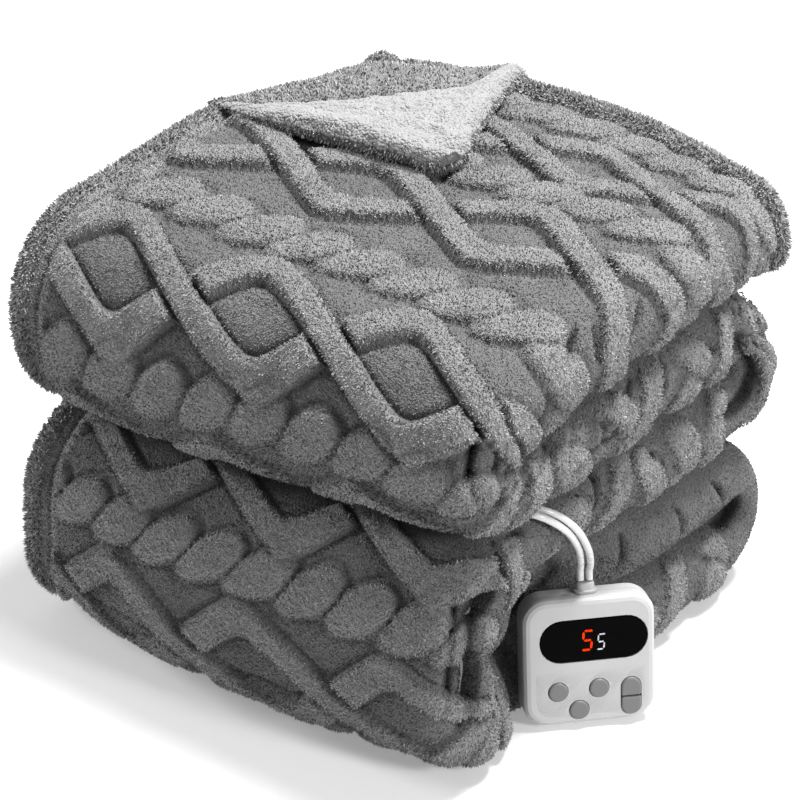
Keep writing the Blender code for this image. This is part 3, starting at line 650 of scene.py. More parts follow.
def curly(name, low, high):
    """Pale short curls: a slight change of tone and a fine bump."""
    nodes = Nodes(name, 0.95, Sheen_Weight=0.1)
    mixed = nodes.multiply(nodes.mottle(45.0, low, high, 3.0), nodes.mottle(700.0, 0.86, 1.0))
    nodes.into(Base_Color=mixed)
    nodes.bump(nodes.grains(600.0), 0.0004, 0.4)
    return nodes.mat


def plastic(name, tone, roughness, grain=0.00004):
    """Moulded plastic: an even tone with a faint mottle, and a very fine grain."""
    nodes = Nodes(name, roughness)
    nodes.into(Base_Color=nodes.mottle(60.0, tone * 0.97, tone, places=(0.35, 0.65)))
    nodes.into(Roughness=nodes.mottle(240.0, roughness - 0.05, roughness + 0.06))
    nodes.bump(nodes.noise(2600.0), grain, 0.5)
    return nodes.mat


MATS = {
    # The cloth under the pile is much darker than the pile: painted shade among the tufts' roots.
    "plush": fabric("plush", 0.160, 0.210, 850.0, 0.0009, 0.1),
    "ground_pile": fabric("ground_pile", 0.350, 0.450, 1300.0, 0.0003, 0.1),
    "band_pile": fabric("band_pile", 0.330, 0.430, 1100.0, 0.0003, 0.15),
    "hem_pile": fabric("hem_pile", 0.360, 0.460, 1100.0, 0.0003, 0.15),
    "sherpa": curly("sherpa", 0.245, 0.275),
    "shell": plastic("shell", 0.37, 0.42),
    "button": plastic("button", 0.115, 0.5),
    "gland": plastic("gland", 0.33, 0.48),
    "lead": plastic("lead", 0.50, 0.28, grain=0.00001),
    "shell_lines": plastic("shell_lines", 0.27, 0.5),
}


def glass():
    """The dark window: almost black, with a faint change of gloss."""
    nodes = Nodes("window", 0.10, Specular_IOR_Level=0.02)
    nodes.into(Base_Color=nodes.mottle(90.0, 0.0005, 0.001))
    nodes.into(Roughness=nodes.mottle(30.0, 0.05, 0.09, 3.0, (0.35, 0.65)))
    return nodes.mat


def lit(name, colour, strength):
    """A lit segment: a little brighter in its middle parts than at its edges."""
    nodes = Nodes(name, 0.4, Specular_IOR_Level=0.0, Base_Color=(0.0, 0.0, 0.0, 1.0))
    dim = tuple(0.6 * c for c in colour)
    shade = nodes.ramp(nodes.noise(700.0, 1.0), (0.35, dim), (0.6, colour))
    nodes.into(Emission_Color=shade, Emission_Strength=strength)
    return nodes.mat


# ---- camera
AIM = Vector((-0.0114, -0.0138, 0.135))
AZIMUTH, ELEVATION, DISTANCE = radians(37.6), radians(29.0), 1.80
SENSOR, LENS, NEAR_CLIP = 36.0, 135.0, 0.05


def build_camera():
    """The view from the front right and above, with a long lens."""
    data = bpy.data.cameras.new("camera")
    data.sensor_width = SENSOR
    data.lens = LENS
    data.clip_start = NEAR_CLIP
    camera = add_object("camera", data)
    flat = cos(ELEVATION)
    away = Vector((sin(AZIMUTH) * flat, -cos(AZIMUTH) * flat, sin(ELEVATION)))
    camera.location = AIM + DISTANCE * away
    camera.rotation_euler = away.to_track_quat("Z", "Y").to_euler()
    bpy.context.scene.camera = camera


# ---- the hand control's frame and leads
# In the control's own frame x is across, -y is the way it faces and z is up from its foot.
CONTROL_FOOT = (0.1595, -0.0498, 0.0036)
CONTROL_TURN = 47.6
CONTROL_LEAN = 10.5
CONTROL_SIDE = 0.078
CONTROL_DEPTH = 0.0205
GLAND_TOP = 0.0064
LEAD_RADIUS = 0.0021
LEAD_SPREAD = 0.0026
LEAD_STEP = 0.009
LEAD_CLEAR = 0.0006  # between the gland and the leads' own first points
LEAD_STRAIGHT = 0.003
LEAD_RISE = 0.006  # height of the second point, straight above the first
LEADS = (
    # name, side of the gland, the places that it passes through
    (
        "lead_a",
        -1,
        ((0.1398, -0.0362, 0.0985), (0.1464, -0.0487, 0.1160), (0.1495, -0.0630, 0.1340)),
        ((0.1480, -0.0755, 0.1465), (0.1435, -0.0835, 0.1530), (0.1365, -0.0880, 0.1552)),
    ),
    (
        "lead_b",
        1,
        ((0.1436, -0.0318, 0.0975), (0.1495, -0.0436, 0.1145), (0.1515, -0.0567, 0.1330)),
        ((0.1490, -0.0685, 0.1465), (0.1435, -0.0765, 0.1530), (0.1365, -0.0810, 0.1550)),
    ),
)
CONTROL = (
    Matrix.Translation(Vector(CONTROL_FOOT) - Vector(ORIGIN))
    @ Matrix.Rotation(radians(CONTROL_TURN), 4, "Z")
    @ Matrix.Rotation(radians(-CONTROL_LEAN), 4, "X")
)


def through(points):
    """Points a step apart on a smooth curve through the given ones."""
    ends = [2 * points[0] - points[1]] + points + [2 * points[-1] - points[-2]]
    fine = []
    for p0, p1, p2, p3 in zip(ends, ends[1:], ends[2:], ends[3:]):
        for t in np.linspace(0, 1, 24, endpoint=False):
            turn = 2 * p1 + (p2 - p0) * t + (2 * p0 - 5 * p1 + 4 * p2 - p3) * t**2
            fine.append((turn + (3 * p1 - p0 - 3 * p2 + p3) * t**3) / 2)
    fine.append(points[-1])
    along = np.cumsum([0.0] + [np.linalg.norm(b - a) for a, b in zip(fine, fine[1:])])
    marks = [0.0, *np.linspace(LEAD_STRAIGHT, along[-1], 3 * round(along[-1] / LEAD_STEP))]
    return [[float(np.interp(m, along, axis)) for axis in zip(*fine)] for m in marks]


def build_leads():
    """The two leads, and the places that each runs through."""
    routes = []
    start = CONTROL_SIDE + GLAND_TOP + LEAD_CLEAR
    for name, side, lower, upper in LEADS:
        exits = []
        for rise in (0, LEAD_RISE):
            place = Vector((side * LEAD_SPREAD, CONTROL_DEPTH / 2, start + rise))
            exits.append(np.array(CONTROL @ place))
        route = through(exits + [np.array(p) - ORIGIN for p in lower + upper])
        data = bpy.data.curves.new("cord_" + name, "CURVE")
        data.dimensions = "3D"
        data.bevel_depth = LEAD_RADIUS
        data.bevel_resolution = 5
        data.use_fill_caps = True
        spline = data.splines.new("POLY")
        spline.points.add(len(route) - 1)
        for point, place in zip(spline.points, route):
            point.co = (*place, 1.0)
        spline.use_smooth = True
        lead = add_piece("cord_" + name, data, "lead", MATS["lead"])
        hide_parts(name)
        routes.append(np.array(route))
    return routes


# ---- the blanket's own mesh
RAISED_FROM, RAISED_STEP, CREASE_STEP = 0.0006, 0.0030, 0.0011
# Painted shade: the even cloth between the raised parts, and the creases, are painted darker.
GROUND_PAINTED_SHADE = 0.56  # lightness of the even cloth, against 1 on the raised parts
CREASE_PAINTED_SHADE = 0.50  # how much darker a crease is than the even cloth


def tone_with_painted_shade(shade):
    """Lightness of the cloth by the height of its pattern: raised, even, or in a crease. Painted shade
    makes the even cloth darker than the raised parts, and a crease darker still.
    """
    light = smooth((shade - RAISED_FROM) / RAISED_STEP)
    return GROUND_PAINTED_SHADE + (1 - GROUND_PAINTED_SHADE) * light - CREASE_PAINTED_SHADE * smooth(-shade / CREASE_STEP)


SOFT_NOISE = ((0.085, 0.0022), (0.036, 0.0011))  # size, and how far it moves the cloth
SOFT_FOOT = 0.02


def soften(points):
    """Small unevenness of a soft stack. It fades out where the stack stands on the floor."""
    lift = smooth(points[..., 2] / SOFT_FOOT)
    moved = points.copy()
    for size, amount in SOFT_NOISE:
        for axis in range(3):
            shift = amount * noise(points, size, axis + 1)
            moved[..., axis] += shift * (lift if axis == 2 else 0.4 + 0.6 * lift)
    moved[..., 2] = np.maximum(moved[..., 2], 0.0)
    return moved


def stations(zone):
    """Distances along the strip at which the points of one zone stand."""
    marks = [0.0, END_INNER] if zone == INNER else list(END_MARKS)
    for row in ROUTE:
        low, high = max(row["start"], marks[-1]), row["start"] + row["length"]
        steps = max(1, round((high - low) / row["step"][zone]))
        marks += [low + (high - low) * (i + 1) / steps for i in range(steps)]
    marks.insert(-1, ROUTE_LENGTH - END_INNER)
    return np.array(sorted(marks))


def stitch(left, right):
    """Triangles between two neighbouring columns of (place, vertex index)."""
    i = k = 0
    triangles = []
    while i < len(left) - 1 or k < len(right) - 1:
        left_next = left[i + 1][0] if i < len(left) - 1 else np.inf
        right_next = right[k + 1][0] if k < len(right) - 1 else np.inf
        if left_next <= right_next:
            triangles.append((left[i][1], left[i + 1][1], right[k][1]))
            i += 1
        else:
            triangles.append((left[i][1], right[k + 1][1], right[k][1]))
            k += 1
    return triangles


class Patch:
    """Columns of one zone, and the next column, at that zone's stations.

    Each point has its place, normal, distance u around the strip, pattern height and shade.
    """

    def __init__(self, rows, s):
        self.zone = rows[0, 4]
        self.s = s
        self.u, self.side = rows[:, 5].copy(), rows[:, 6].copy()
        if self.u[-1] < self.u[-2]:  # the next zone counts u from its own start
            self.u[-1], self.side[-1] = 2 * self.u[-2] - self.u[-3], self.side[-2]
        places, self.pattern, self.shade = cloth_grid(rows, s)
        self.points = soften(places - ORIGIN)
        across, along = np.gradient(self.points, axis=0), np.gradient(self.points, axis=1)
        self.normal = unit(np.cross(along, across))


class Cloth:
    """The folded throw: one closed mesh, and the patches that it is made of."""

    def __init__(self):
        rows = outline()
        total = len(rows)
        breaks = [j for j in range(total) if rows[j, 4] != rows[j - 1, 4]]
        points, tones, triangles, columns, self.patches = [], [], [], [None] * total, []
        used = 0
        for first, last in zip(breaks, breaks[1:] + [breaks[0] + total]):
            own = [j % total for j in range(first, last)]
            s = stations(int(rows[first, 4]))
            patch = Patch(rows[own + [last % total]], s)
            self.patches.append(patch)
            points.append(patch.points[:-1].reshape(-1, 3))
            tones.append(tone_with_painted_shade(patch.shade[:-1]).ravel())
            for n, j in enumerate(own):
                columns[j] = list(zip(s, range(used + n * len(s), used + (n + 1) * len(s))))
            a = used + np.arange(len(own) - 1)[:, None] * len(s) + np.arange(len(s) - 1)[None, :]
            b = a + len(s)
            level = patch.pattern[:-1]  # each quad is split along the more even diagonal
            straight = np.abs(level[:-1, 1:] - level[1:, :-1])
            crossed = np.abs(level[:-1, :-1] - level[1:, 1:])
            flip = crossed < straight
            triangles.append(np.stack((a, a + 1, np.where(flip, b + 1, b)), -1).reshape(-1, 3))
            triangles.append(np.stack((np.where(flip, a, a + 1), b + 1, b), -1).reshape(-1, 3))
            used += len(own) * len(s)
        for j in breaks:
            triangles.append(np.array(stitch(columns[j - 1], columns[j])))
        t = rows[:, 7]  # pairs the two faces of the cloth, so that the caps close its ends
        turn = next(k for k in range(1, total) if t[k] < t[k - 1])
        for end in (0, -1):
            ring = [(t[k], columns[k][end][1]) for k in range(total)]
            cap = np.array(stitch(ring[turn:][::-1], ring[:turn]))
            triangles.append(cap[:, ::-1] if end == 0 else cap)
        self.points, self.tone = np.concatenate(points), np.concatenate(tones)
        self.faces = np.concatenate(triangles)


# ---- where the cloth shows
TILTS = ((0, 0, 0), (0.8, 0, 0.3), (-0.8, 0, 0.3), (0, 0.8, 0.3), (0, -0.8, 0.3), (0, 0, 1.2))
RAY_START = 0.0012
RAY_LENGTH = 0.05
FLOOR_REACH = 0.06  # a ray that is below the floor this far on doesn't count
EDGE_COLUMNS = 6  # columns of the top at each side that may show on every leg


def quad_middles(grid):
    return (grid[:-1, :-1] + grid[1:, :-1] + grid[:-1, 1:] + grid[1:, 1:]) / 4


def quad_areas(grid):
    one, other = grid[1:, 1:] - grid[:-1, :-1], grid[:-1, 1:] - grid[1:, :-1]
    return np.linalg.norm(np.cross(one, other), axis=-1) / 2


def between(values, i, j, p, q):
    """Values at places p and q of the way over the quads i, j of a grid."""
    near = values[i, j] * (1 - q) + values[i, j + 1] * q
    far = values[i + 1, j] * (1 - q) + values[i + 1, j + 1] * q
    return near * (1 - p) + far * p


def shown_quads(patch, tree):
    """For each quad of a patch, how much of it is open to the room, from 0 to 1."""
    middle, normal = quad_middles(patch.points), quad_middles(patch.normal)
    shown = np.zeros(middle.shape[:2])
    coarse = 2 if patch.zone in (TOP, LOBE) else 1
    hidden = showing(patch.s, EXPOSED_A)[:-1] < 0.02
    for j in range(0, shown.shape[0], coarse):
        buried = patch.zone == TOP and EDGE_COLUMNS <= j < shown.shape[0] - EDGE_COLUMNS
        for i in range(0, shown.shape[1], coarse):
            if buried and hidden[i]:
                continue
            n = Vector(normal[j, i]).normalized()
            place = Vector(middle[j, i]) + RAY_START * n
            ways = [(n + Vector(tilt)).normalized() for tilt in TILTS]
            ways = [way for way in ways if place.z + way.z * FLOOR_REACH >= 0.0]
            rays = sum(tree.ray_cast(place, way, RAY_LENGTH)[0] is None for way in ways)
            shown[j : j + coarse, i : i + coarse] = rays / len(TILTS)
    return shown


# ---- pile
GROUND_TUFT = (0.00062, 0.0010, 0.0003)  # foot radius, height, lean
BAND_TUFT = (0.00060, 0.0013, 0.0004)
HEM_TUFT = (0.00080, 0.0028, 0.0014)
FLAP_TUFT = (0.00085, 0.0020, 0.0009)
CLUMP = 0.0019  # size of the small clumps in which tufts are lighter and taller
TUFTS = 280000
HIDDEN_SHARE = 0.45  # how many tufts the faces away from the front get, against the front's
PIECE_TUFTS = 95000  # the most tufts in one piece
TUFT_SINK = 0.0004  # how deep the feet stand in the cloth
TUFT_REACH = 0.002  # how far out a tuft has to keep clear of other things
PILE_FLOOR = 0.0002
DROOP = 0.2  # how much lower the tufts' tips are on faces that aren't level
LEVEL_FACE = 0.85
# Painted shade: the tufts' feet are painted darker than their tips.
PAINTED_ROOT_SHADE = 0.22
CLUMP_CHANGE = 0.45
FINER_LIMIT = 0.0025  # the most that a tuft moves to the pattern's exact height
FIRST_HEM = 0.02  # width of the bushy pile at the strip's first end
BAND_LEVEL = 0.0018  # height above which the pile is a raised band's
TOWARDS_FRONT = np.array((0.5336, -0.6930, 0.4848))
FACING_AWAY = -0.25


def side_ways(normals):
    """Two unit directions square to each normal, the first of them random."""
    side = unit(np.cross(normals, rng.normal(size=normals.shape)))
    return side, np.cross(normals, side)


def tufts(places, normals, tones, radius, height, lean):
    """Small tufts folded of two faces, each leaning its own way: points, faces and tones, with painted
    shade at the feet.
    """
    count = len(places)
    side, other = side_ways(normals)
    size = rng.uniform(0.75, 1.25, (count, 1))
    clumps = noise(places, CLUMP, 9)
    points = np.empty((count, 4, 3))
    for k in range(3):
        a = 2 * pi * k / 3
        points[:, k] = places - TUFT_SINK * normals + radius * size * (cos(a) * side + sin(a) * other)
    tall = rng.uniform(0.6, 1.2, count) * (1 + CLUMP_CHANGE * clumps)
    tip = places + normals * height * tall[:, None]
    points[:, 3] = tip + lean * rng.uniform(0.1, 1.4, (count, 1)) * side
    points[:, 3, 2] -= DROOP * height * (normals[:, 2] < LEVEL_FACE)
    faces = (np.arange(count) * 4)[:, None, None] + np.array(((0, 1, 3), (1, 2, 3)))
    # painted shade: the three feet are darker than the tip
    shade = tones[:, None] * np.array((PAINTED_ROOT_SHADE, PAINTED_ROOT_SHADE, PAINTED_ROOT_SHADE, 1.0))
    shade[:, 3] *= rng.uniform(0.85, 1.25, count) * (1.05 + CLUMP_CHANGE * clumps)
    return points, faces, shade


CONTROL_CLEAR = 0.0008
GLAND_SPACE = (0.008, 0.006, 0.008)  # half width, half depth and height kept clear
FLOOR_CLEAR = 0.0004


def clear_of_control(tips, leads):
    """Which tufts keep clear of the hand control, its gland, the leads and the floor."""
    turned = np.array(CONTROL.inverted())
    x, y, z = (tips @ turned[:3, :3].T + turned[:3, 3]).T
    half = CONTROL_SIDE / 2 + CONTROL_CLEAR
    shell = (np.abs(x) < half) & (np.abs(z - CONTROL_SIDE / 2) < half)
    shell &= np.abs(y - CONTROL_DEPTH / 2) < CONTROL_DEPTH / 2 + CONTROL_CLEAR
    gland = (np.abs(x) < GLAND_SPACE[0]) & (np.abs(y - CONTROL_DEPTH / 2) < GLAND_SPACE[1])
    gland &= (z > 0.07) & (z < CONTROL_SIDE + GLAND_SPACE[2])
    near = np.full(len(tips), np.inf)
    for point in np.concatenate(leads):
        near = np.minimum(near, ((tips - point) ** 2).sum(1))
    lead = near < (LEAD_RADIUS + CONTROL_CLEAR + 0.0001) ** 2
    return ~(shell | gland | lead) & (tips[:, 2] > FLOOR_CLEAR)


def pile(cloth, tree, leads):
    """The tufts on the shown faces: those of the ground, of the raised bands and of the hems."""
    weights = []
    for patch in cloth.patches:
        facing = quad_middles(patch.normal) @ TOWARDS_FRONT
        density = np.where(facing > FACING_AWAY, 1.0, HIDDEN_SHARE)
        shown = 0.0 if patch.zone == INNER else smooth(shown_quads(patch, tree) / 0.3)
        weights.append(quad_areas(patch.points) * density * shown)
    total = sum(weight.sum() for weight in weights)
    found = []
    for patch, weight in zip(cloth.patches, weights):
        number = round(TUFTS * weight.sum() / total)
        if number == 0:
            continue
        marks = (np.arange(number) + rng.random(number)) / number * weight.sum()
        picked = np.minimum(np.searchsorted(np.cumsum(weight.ravel()), marks), weight.size - 1)
        j, i = picked // weight.shape[1], picked % weight.shape[1]
        p, q = rng.random((number, 1)), rng.random((number, 1))
        levels = np.stack((patch.pattern, patch.shade), -1)
        values = np.concatenate((patch.points, patch.normal, levels), -1)
        some = between(values, j, i, p, q)
        around = [line[j] * (1 - p[:, 0]) + line[j + 1] * p[:, 0] for line in (patch.u, patch.side)]
        along = patch.s[i] * (1 - q[:, 0]) + patch.s[i + 1] * q[:, 0]
        exact = raised(patch.zone, *around, along)
        finer = np.clip(exact - some[:, 6], -FINER_LIMIT, FINER_LIMIT)
        some[:, :3] += some[:, 3:6] * finer[:, None]
        some[:, 6] = some[:, 7] + finer
        some[:, 7] = (patch.zone == HEM) | (along < FIRST_HEM)
        found.append(some)
    found = np.concatenate(found)
    places, normals = found[:, :3], unit(found[:, 3:6])
    on_band, hem = found[:, 6] > BAND_LEVEL, found[:, 7] > 0.5
    free = clear_of_control(places + TUFT_REACH * normals, leads)
    groups = {}
    for name, chosen, sizes in (
        ("ground_pile", ~on_band & ~hem & free, GROUND_TUFT),
        ("band_pile", on_band & ~hem & free, BAND_TUFT),
        ("hem_pile", hem & free, HEM_TUFT),
    ):
        groups[name] = tufts(places[chosen], normals[chosen], tone_with_painted_shade(found[chosen, 6]), *sizes)
    return groups


def add_pile(groups):
    """Pieces of pile, none of them with more than PIECE_TUFTS tufts."""
    pieces = []
    for name, (points, faces, shade) in groups.items():
        points[..., 2] = np.maximum(points[..., 2], PILE_FLOOR)
        for n, first in enumerate(range(0, len(points), PIECE_TUFTS)):
            part = slice(first, first + PIECE_TUFTS)
            some = points[part].reshape(-1, 3)
            corners = (faces[part] - 4 * first).reshape(-1, 3)
            mesh = mesh_of(f"{name}_{n}", some, corners, shade[part])
            pieces.append(add_piece(f"{name}_{n}", mesh, "plush", MATS[name]))
    return pieces


# ---- the turned corner
FLAP_SIDE_ROOT = (-0.186, 0.036)
FLAP_HEM_ROOT = (-0.070, 0.200)
FLAP_TIP = (-0.006, 0.038)
FLAP_ROWS = (
    # part of the way to the tip, rise, half thickness in the middle, half thickness at the hems
    (-0.03, 0.0020, 0.0050, 0.0050),
    (0.03, 0.0085, 0.0078, 0.0078),
    (0.10, 0.0130, 0.0074, 0.0082),
    (0.20, 0.0140, 0.0062, 0.0082),
    (0.34, 0.0140, 0.0056, 0.0082),
    (0.50, 0.0138, 0.0054, 0.0081),
    (0.66, 0.0136, 0.0056, 0.0080),
    (0.79, 0.0134, 0.0062, 0.0078),
    (0.88, 0.0131, 0.0068, 0.0072),
    (0.925, 0.0128, 0.0058, 0.0058),
    (0.95, 0.0125, 0.0030, 0.0030),
)
# Places across the corner, and the part of the way to the tip at which the sherpa starts there.
FLAP_ACROSS = (0.0, 0.04, 0.13, 0.25, 0.4, 0.7, 0.88, 1.0)
FLAP_FOLD = (0.05, 0.17, 0.21, 0.29, 0.335, 0.32, 0.28, 0.0)
FLAP_BULGE = (0.001, -0.020)  # how far the side's edge bows outwards in its middle
FLAP_HUMP = (0.46, 0.20, 0.0080)  # middle and reach across the corner, rise
FLAP_DIP = (0.022, 0.0042)  # half width and depth of the dip behind the sherpa
FLAP_STEPS = 84
FLAP_FOLD_RING = 28  # the ring at which the sherpa starts
FLAP_COLUMNS = 64
FLAP_HEM = 0.020
FLAP_ROUND = (0.86, 0.094)  # where the tip's rounding starts and how long it is
FLAP_SWELL = 0.125  # distance from the side's root in which the corner thickens
FLAP_LUMPS = ((0.0010, 0.0058, 5), (0.0007, 0.0030, 6))  # height, size, seed
FLAP_TUFTS = 14000
SHERPA_CURLS = 13000
CURL_RINGS = ((-0.0006, 0.0, 0.00090), (0.0004, 0.0002, 0.00095))  # rise, shift, radius
CURL_TIP = 0.0008


def flap_rings():
    """Closed rings of points round the turned corner, from its fold to its tip."""
    side, hem, tip = (np.array(p) for p in (FLAP_SIDE_ROOT, FLAP_HEM_ROOT, FLAP_TIP))
    table = np.array(FLAP_ROWS)
    top = TOP_LEG_Z + STRIP / 2
    turn = np.cos(pi * np.arange(FLAP_COLUMNS) / (FLAP_COLUMNS - 1))[None, :]
    across = 0.5 - 0.5 * turn**3 * (0.35 + 0.65 * np.abs(turn))
    fold = np.interp(across, FLAP_ACROSS, FLAP_FOLD)
    ring = np.arange(FLAP_STEPS)[:, None]
    first, last = table[0, 0], table[-1, 0]
    before = first + (fold - first) * ring / FLAP_FOLD_RING
    beyond = (ring - FLAP_FOLD_RING) / (FLAP_STEPS - 1 - FLAP_FOLD_RING)
    part = np.where(ring < FLAP_FOLD_RING, before, fold + (last - fold) * beyond)
    rise, middle, edge = (np.interp(part, table[:, 0], table[:, k]) for k in (1, 2, 3))
    bow = np.sin(pi * np.clip(part, 0, 1)) ** 0.7
    left = side + (tip - side) * part[..., None] + np.array(FLAP_BULGE) * bow[..., None]
    right = hem + (tip - hem) * part[..., None]
    start, length = FLAP_ROUND
    rounded = np.sqrt(np.clip(1 - ((part - start) / length) ** 2, 0.01, None))
    shrink = np.where(part > start, (1 - start) * rounded / (1 - part), 1.0)[..., None]
    centre = (left + right) / 2
    left, right = centre + (left - centre) * shrink, centre + (right - centre) * shrink
    width = np.linalg.norm(right - left, axis=-1)
    inset = np.minimum(across, 1 - across) * width
    half = middle + (edge - middle) * (1 - smooth((inset - 0.4 * FLAP_HEM) / FLAP_HEM))
    half = half * np.sqrt(np.clip(1 - np.clip(1 - inset / edge, 0, None) ** 2, 0, None))
    flat = left + (right - left) * across[..., None]
    away = np.hypot(flat[..., 0] - side[0], flat[..., 1] - side[1])
    swell = 0.35 + 0.65 * smooth(away / FLAP_SWELL)
    hump = FLAP_HUMP[2] * bell(across - FLAP_HUMP[0], FLAP_HUMP[1])
    hump = hump * (1 - smooth(part / fold.clip(0.1))) * smooth((part + 0.03) / 0.06)
    dip = FLAP_DIP[1] * bell(part - fold, FLAP_DIP[0]) * smooth(inset / 0.02)
    upper = np.concatenate((flat, (top + swell * (rise + half) + hump - dip)[..., None]), -1)
    lower = np.concatenate((flat, (top + swell * (rise - half))[..., None]), -1)[:, -2:0:-1]
    return np.concatenate((upper, lower), 1)


def build_flap():
    """The corner turned back over the top, sherpa side up, with the plush round its edge."""
    rings = flap_rings()
    points = soften(settle(rings) - ORIGIN)
    rings_count, count = points.shape[:2]
    around = np.roll(points, -1, 1) - np.roll(points, 1, 1)
    along = np.gradient(points, axis=0)
    normal = unit(np.cross(around, along))
    if normal[rings_count // 2, FLAP_COLUMNS // 2, 2] < 0:
        normal = -normal
    upper = np.zeros(count, bool)
    upper[:FLAP_COLUMNS] = True
    lumps = sum(amount * noise(points, size, seed) for amount, size, seed in FLAP_LUMPS)
    points = points + normal * (lumps * upper[None, :])[..., None]
    faces = ring_faces(rings_count, count)
    sherpa = np.arange(rings_count - 1)[:, None] >= FLAP_FOLD_RING
    sherpa = sherpa & (np.arange(count) < FLAP_COLUMNS - 1)[None, :]
    mesh = mesh_of("turned_corner", points.reshape(-1, 3), faces, np.ones(points.shape[:2]))
    tidied = bmesh.new()
    tidied.from_mesh(mesh)
    tidied.verts.ensure_lookup_table()
    for ring in (range(count), range((rings_count - 1) * count, rings_count * count)):
        tidied.faces.new([tidied.verts[k] for k in ring])
    bmesh_to(mesh, tidied)
    indices = np.concatenate((np.where(sherpa.ravel(), 1, 0), (0, 0))).astype(np.int32)
    flap = add_piece("turned_corner", mesh, "plush", MATS["plush"], MATS["sherpa"])
    mesh.polygons.foreach_set("material_index", indices)
    mesh.shade_smooth()
    return flap, points, normal, sherpa


def ring_samples(points, normal, keep, number):
    """Places and normals spread evenly over the kept quads of closed rings of points."""
    points, normal = (np.concatenate((grid, grid[:, :1]), 1) for grid in (points, normal))
    area = quad_areas(points) * keep
    picked = rng.choice(area.size, number, p=(area / area.sum()).ravel())
    i, j = picked // area.shape[1], picked % area.shape[1]
    p, q = rng.random((number, 1)), rng.random((number, 1))
    return between(points, i, j, q, p), unit(between(normal, i, j, q, p))


def sherpa_curls(points, normal, sherpa):
    """Short curls of the sherpa: small bent spikes, each of a foot, a waist and a tip."""
    places, normals = ring_samples(points, normal, sherpa, SHERPA_CURLS)
    side, other = side_ways(normals)
    size = rng.uniform(0.7, 1.3, (len(places), 1))
    rings = []
    for rise, shift, radius in CURL_RINGS:
        middle = places + size * (rise * normals + shift * side)
        for k in range(4):
            a = pi * k / 2
            rings.append(middle + radius * size * (cos(a) * side + sin(a) * other))
    rings.append(places + size * CURL_TIP * (normals + side))
    pattern = []
    for k, m in ring_pairs(4):
        pattern += [(k, m, 4 + m), (k, 4 + m, 4 + k)]
    pattern += [(4 + k, 4 + m, 8) for k, m in ring_pairs(4)]
    faces = (np.arange(len(places)) * 9)[:, None, None] + np.array(pattern)
    mesh = mesh_of("sherpa_curls", np.stack(rings, 1).reshape(-1, 3), faces.reshape(-1, 3))
    return add_piece("sherpa_curls", mesh, "plush", MATS["sherpa"])


def flap_edge_pile(points, normal, sherpa):
    """The plush's pile behind the sherpa and along the underside of the turned corner's edge."""
    places, normals = ring_samples(points, normal, ~sherpa, FLAP_TUFTS)
    data, faces, shade = tufts(places, normals, np.ones(len(places)), *FLAP_TUFT)
    mesh = mesh_of("turned_edge_pile", data.reshape(-1, 3), faces.reshape(-1, 3), shade)
    return add_piece("turned_edge_pile", mesh, "plush", MATS["hem_pile"])


# ---- details of the hand control
BUTTON_FIELDS = (
    # middle across, middle height, half width and half height that the face's ribs keep clear of
    (-0.0188, 0.0212, 0.0068, 0.0068),
    (0.0053, 0.0216, 0.0068, 0.0068),
    (-0.0066, 0.0090, 0.0068, 0.0068),
    (0.0242, 0.01488, 0.0069, 0.0128),
)
LINE_PITCH = 0.00125
LINE_WIDTH = 0.00052
LINE_HEIGHT = 0.00013
LINE_SLOPE = radians(47)
LINE_STEP = 0.0005  # between the places that are tried along a rib
LINE_MIDDLE = (0.0, 0.02)
LINE_FOOT = 0.0002  # how deep the ribs' feet stand in the face
LINE_FIELD = (-0.0320, 0.0325, 0.0055, 0.0335)  # left, right, low, high
LINE_CORNER = 0.010  # radius of the field's two lower corners
SEGMENTS = (
    # a seven-segment five: ends of each bar, in units of the digit's width and height
    ((0.12, 1.00), (0.95, 1.00)),
    ((0.05, 0.95), (0.05, 0.56)),
    ((0.12, 0.50), (0.88, 0.50)),
    ((0.95, 0.44), (0.95, 0.05)),
    ((0.05, 0.00), (0.88, 0.00)),
)
DIGIT_DEPTHS = (-0.00022, -0.00004)  # of a bar's front and back
DIGITS = (
    # name, left, low, width, height, bar width, lean
    ("digit_large", -0.0048, 0.0460, 0.0058, 0.0117, 0.00125, 0.10),
    ("digit_small", 0.0042, 0.0457, 0.0042, 0.0092, 0.00080, 0.10),
)


def in_button(a, b):
    """Whether a place on the face is in the space round a button."""
    for across, up, half_a, half_b in BUTTON_FIELDS:
        beyond = max(abs(b - up) - (half_b - half_a), 0.0)
        if (a - across) ** 2 + beyond**2 < half_a**2:
            return True
    return False


def in_field(a, b):
    """Whether a place on the face is in the ribbed field."""
    left, right, low, high = LINE_FIELD
    if not (left < a < right and low < b < high):
        return False
    corner = low + LINE_CORNER
    for sx, cx in ((-1, left + LINE_CORNER), (1, right - LINE_CORNER)):
        if (a - cx) * sx > 0 and b < corner:
            return (a - cx) ** 2 + (b - corner) ** 2 < LINE_CORNER**2
    return True


def face_lines():
    """Fine slanting ribs moulded into the lower part of the control's face."""
    slope = np.array((cos(LINE_SLOPE), sin(LINE_SLOPE)))
    across = np.array((-slope[1], slope[0]))
    points, faces = [], []
    for n in range(-60, 60):
        run = []
        for k in range(-160, 161):
            place = slope * k * LINE_STEP + across * n * LINE_PITCH + np.array(LINE_MIDDLE)
            if in_field(*place) and not in_button(*place):
                run.append(place)
                continue
            add_rib(run, across, points, faces)
            run = []
        add_rib(run, across, points, faces)
    moved = [CONTROL @ Vector(p) for p in points]
    add_piece("face_ribs", mesh_of("face_ribs", moved, faces), "shell", MATS["shell_lines"])


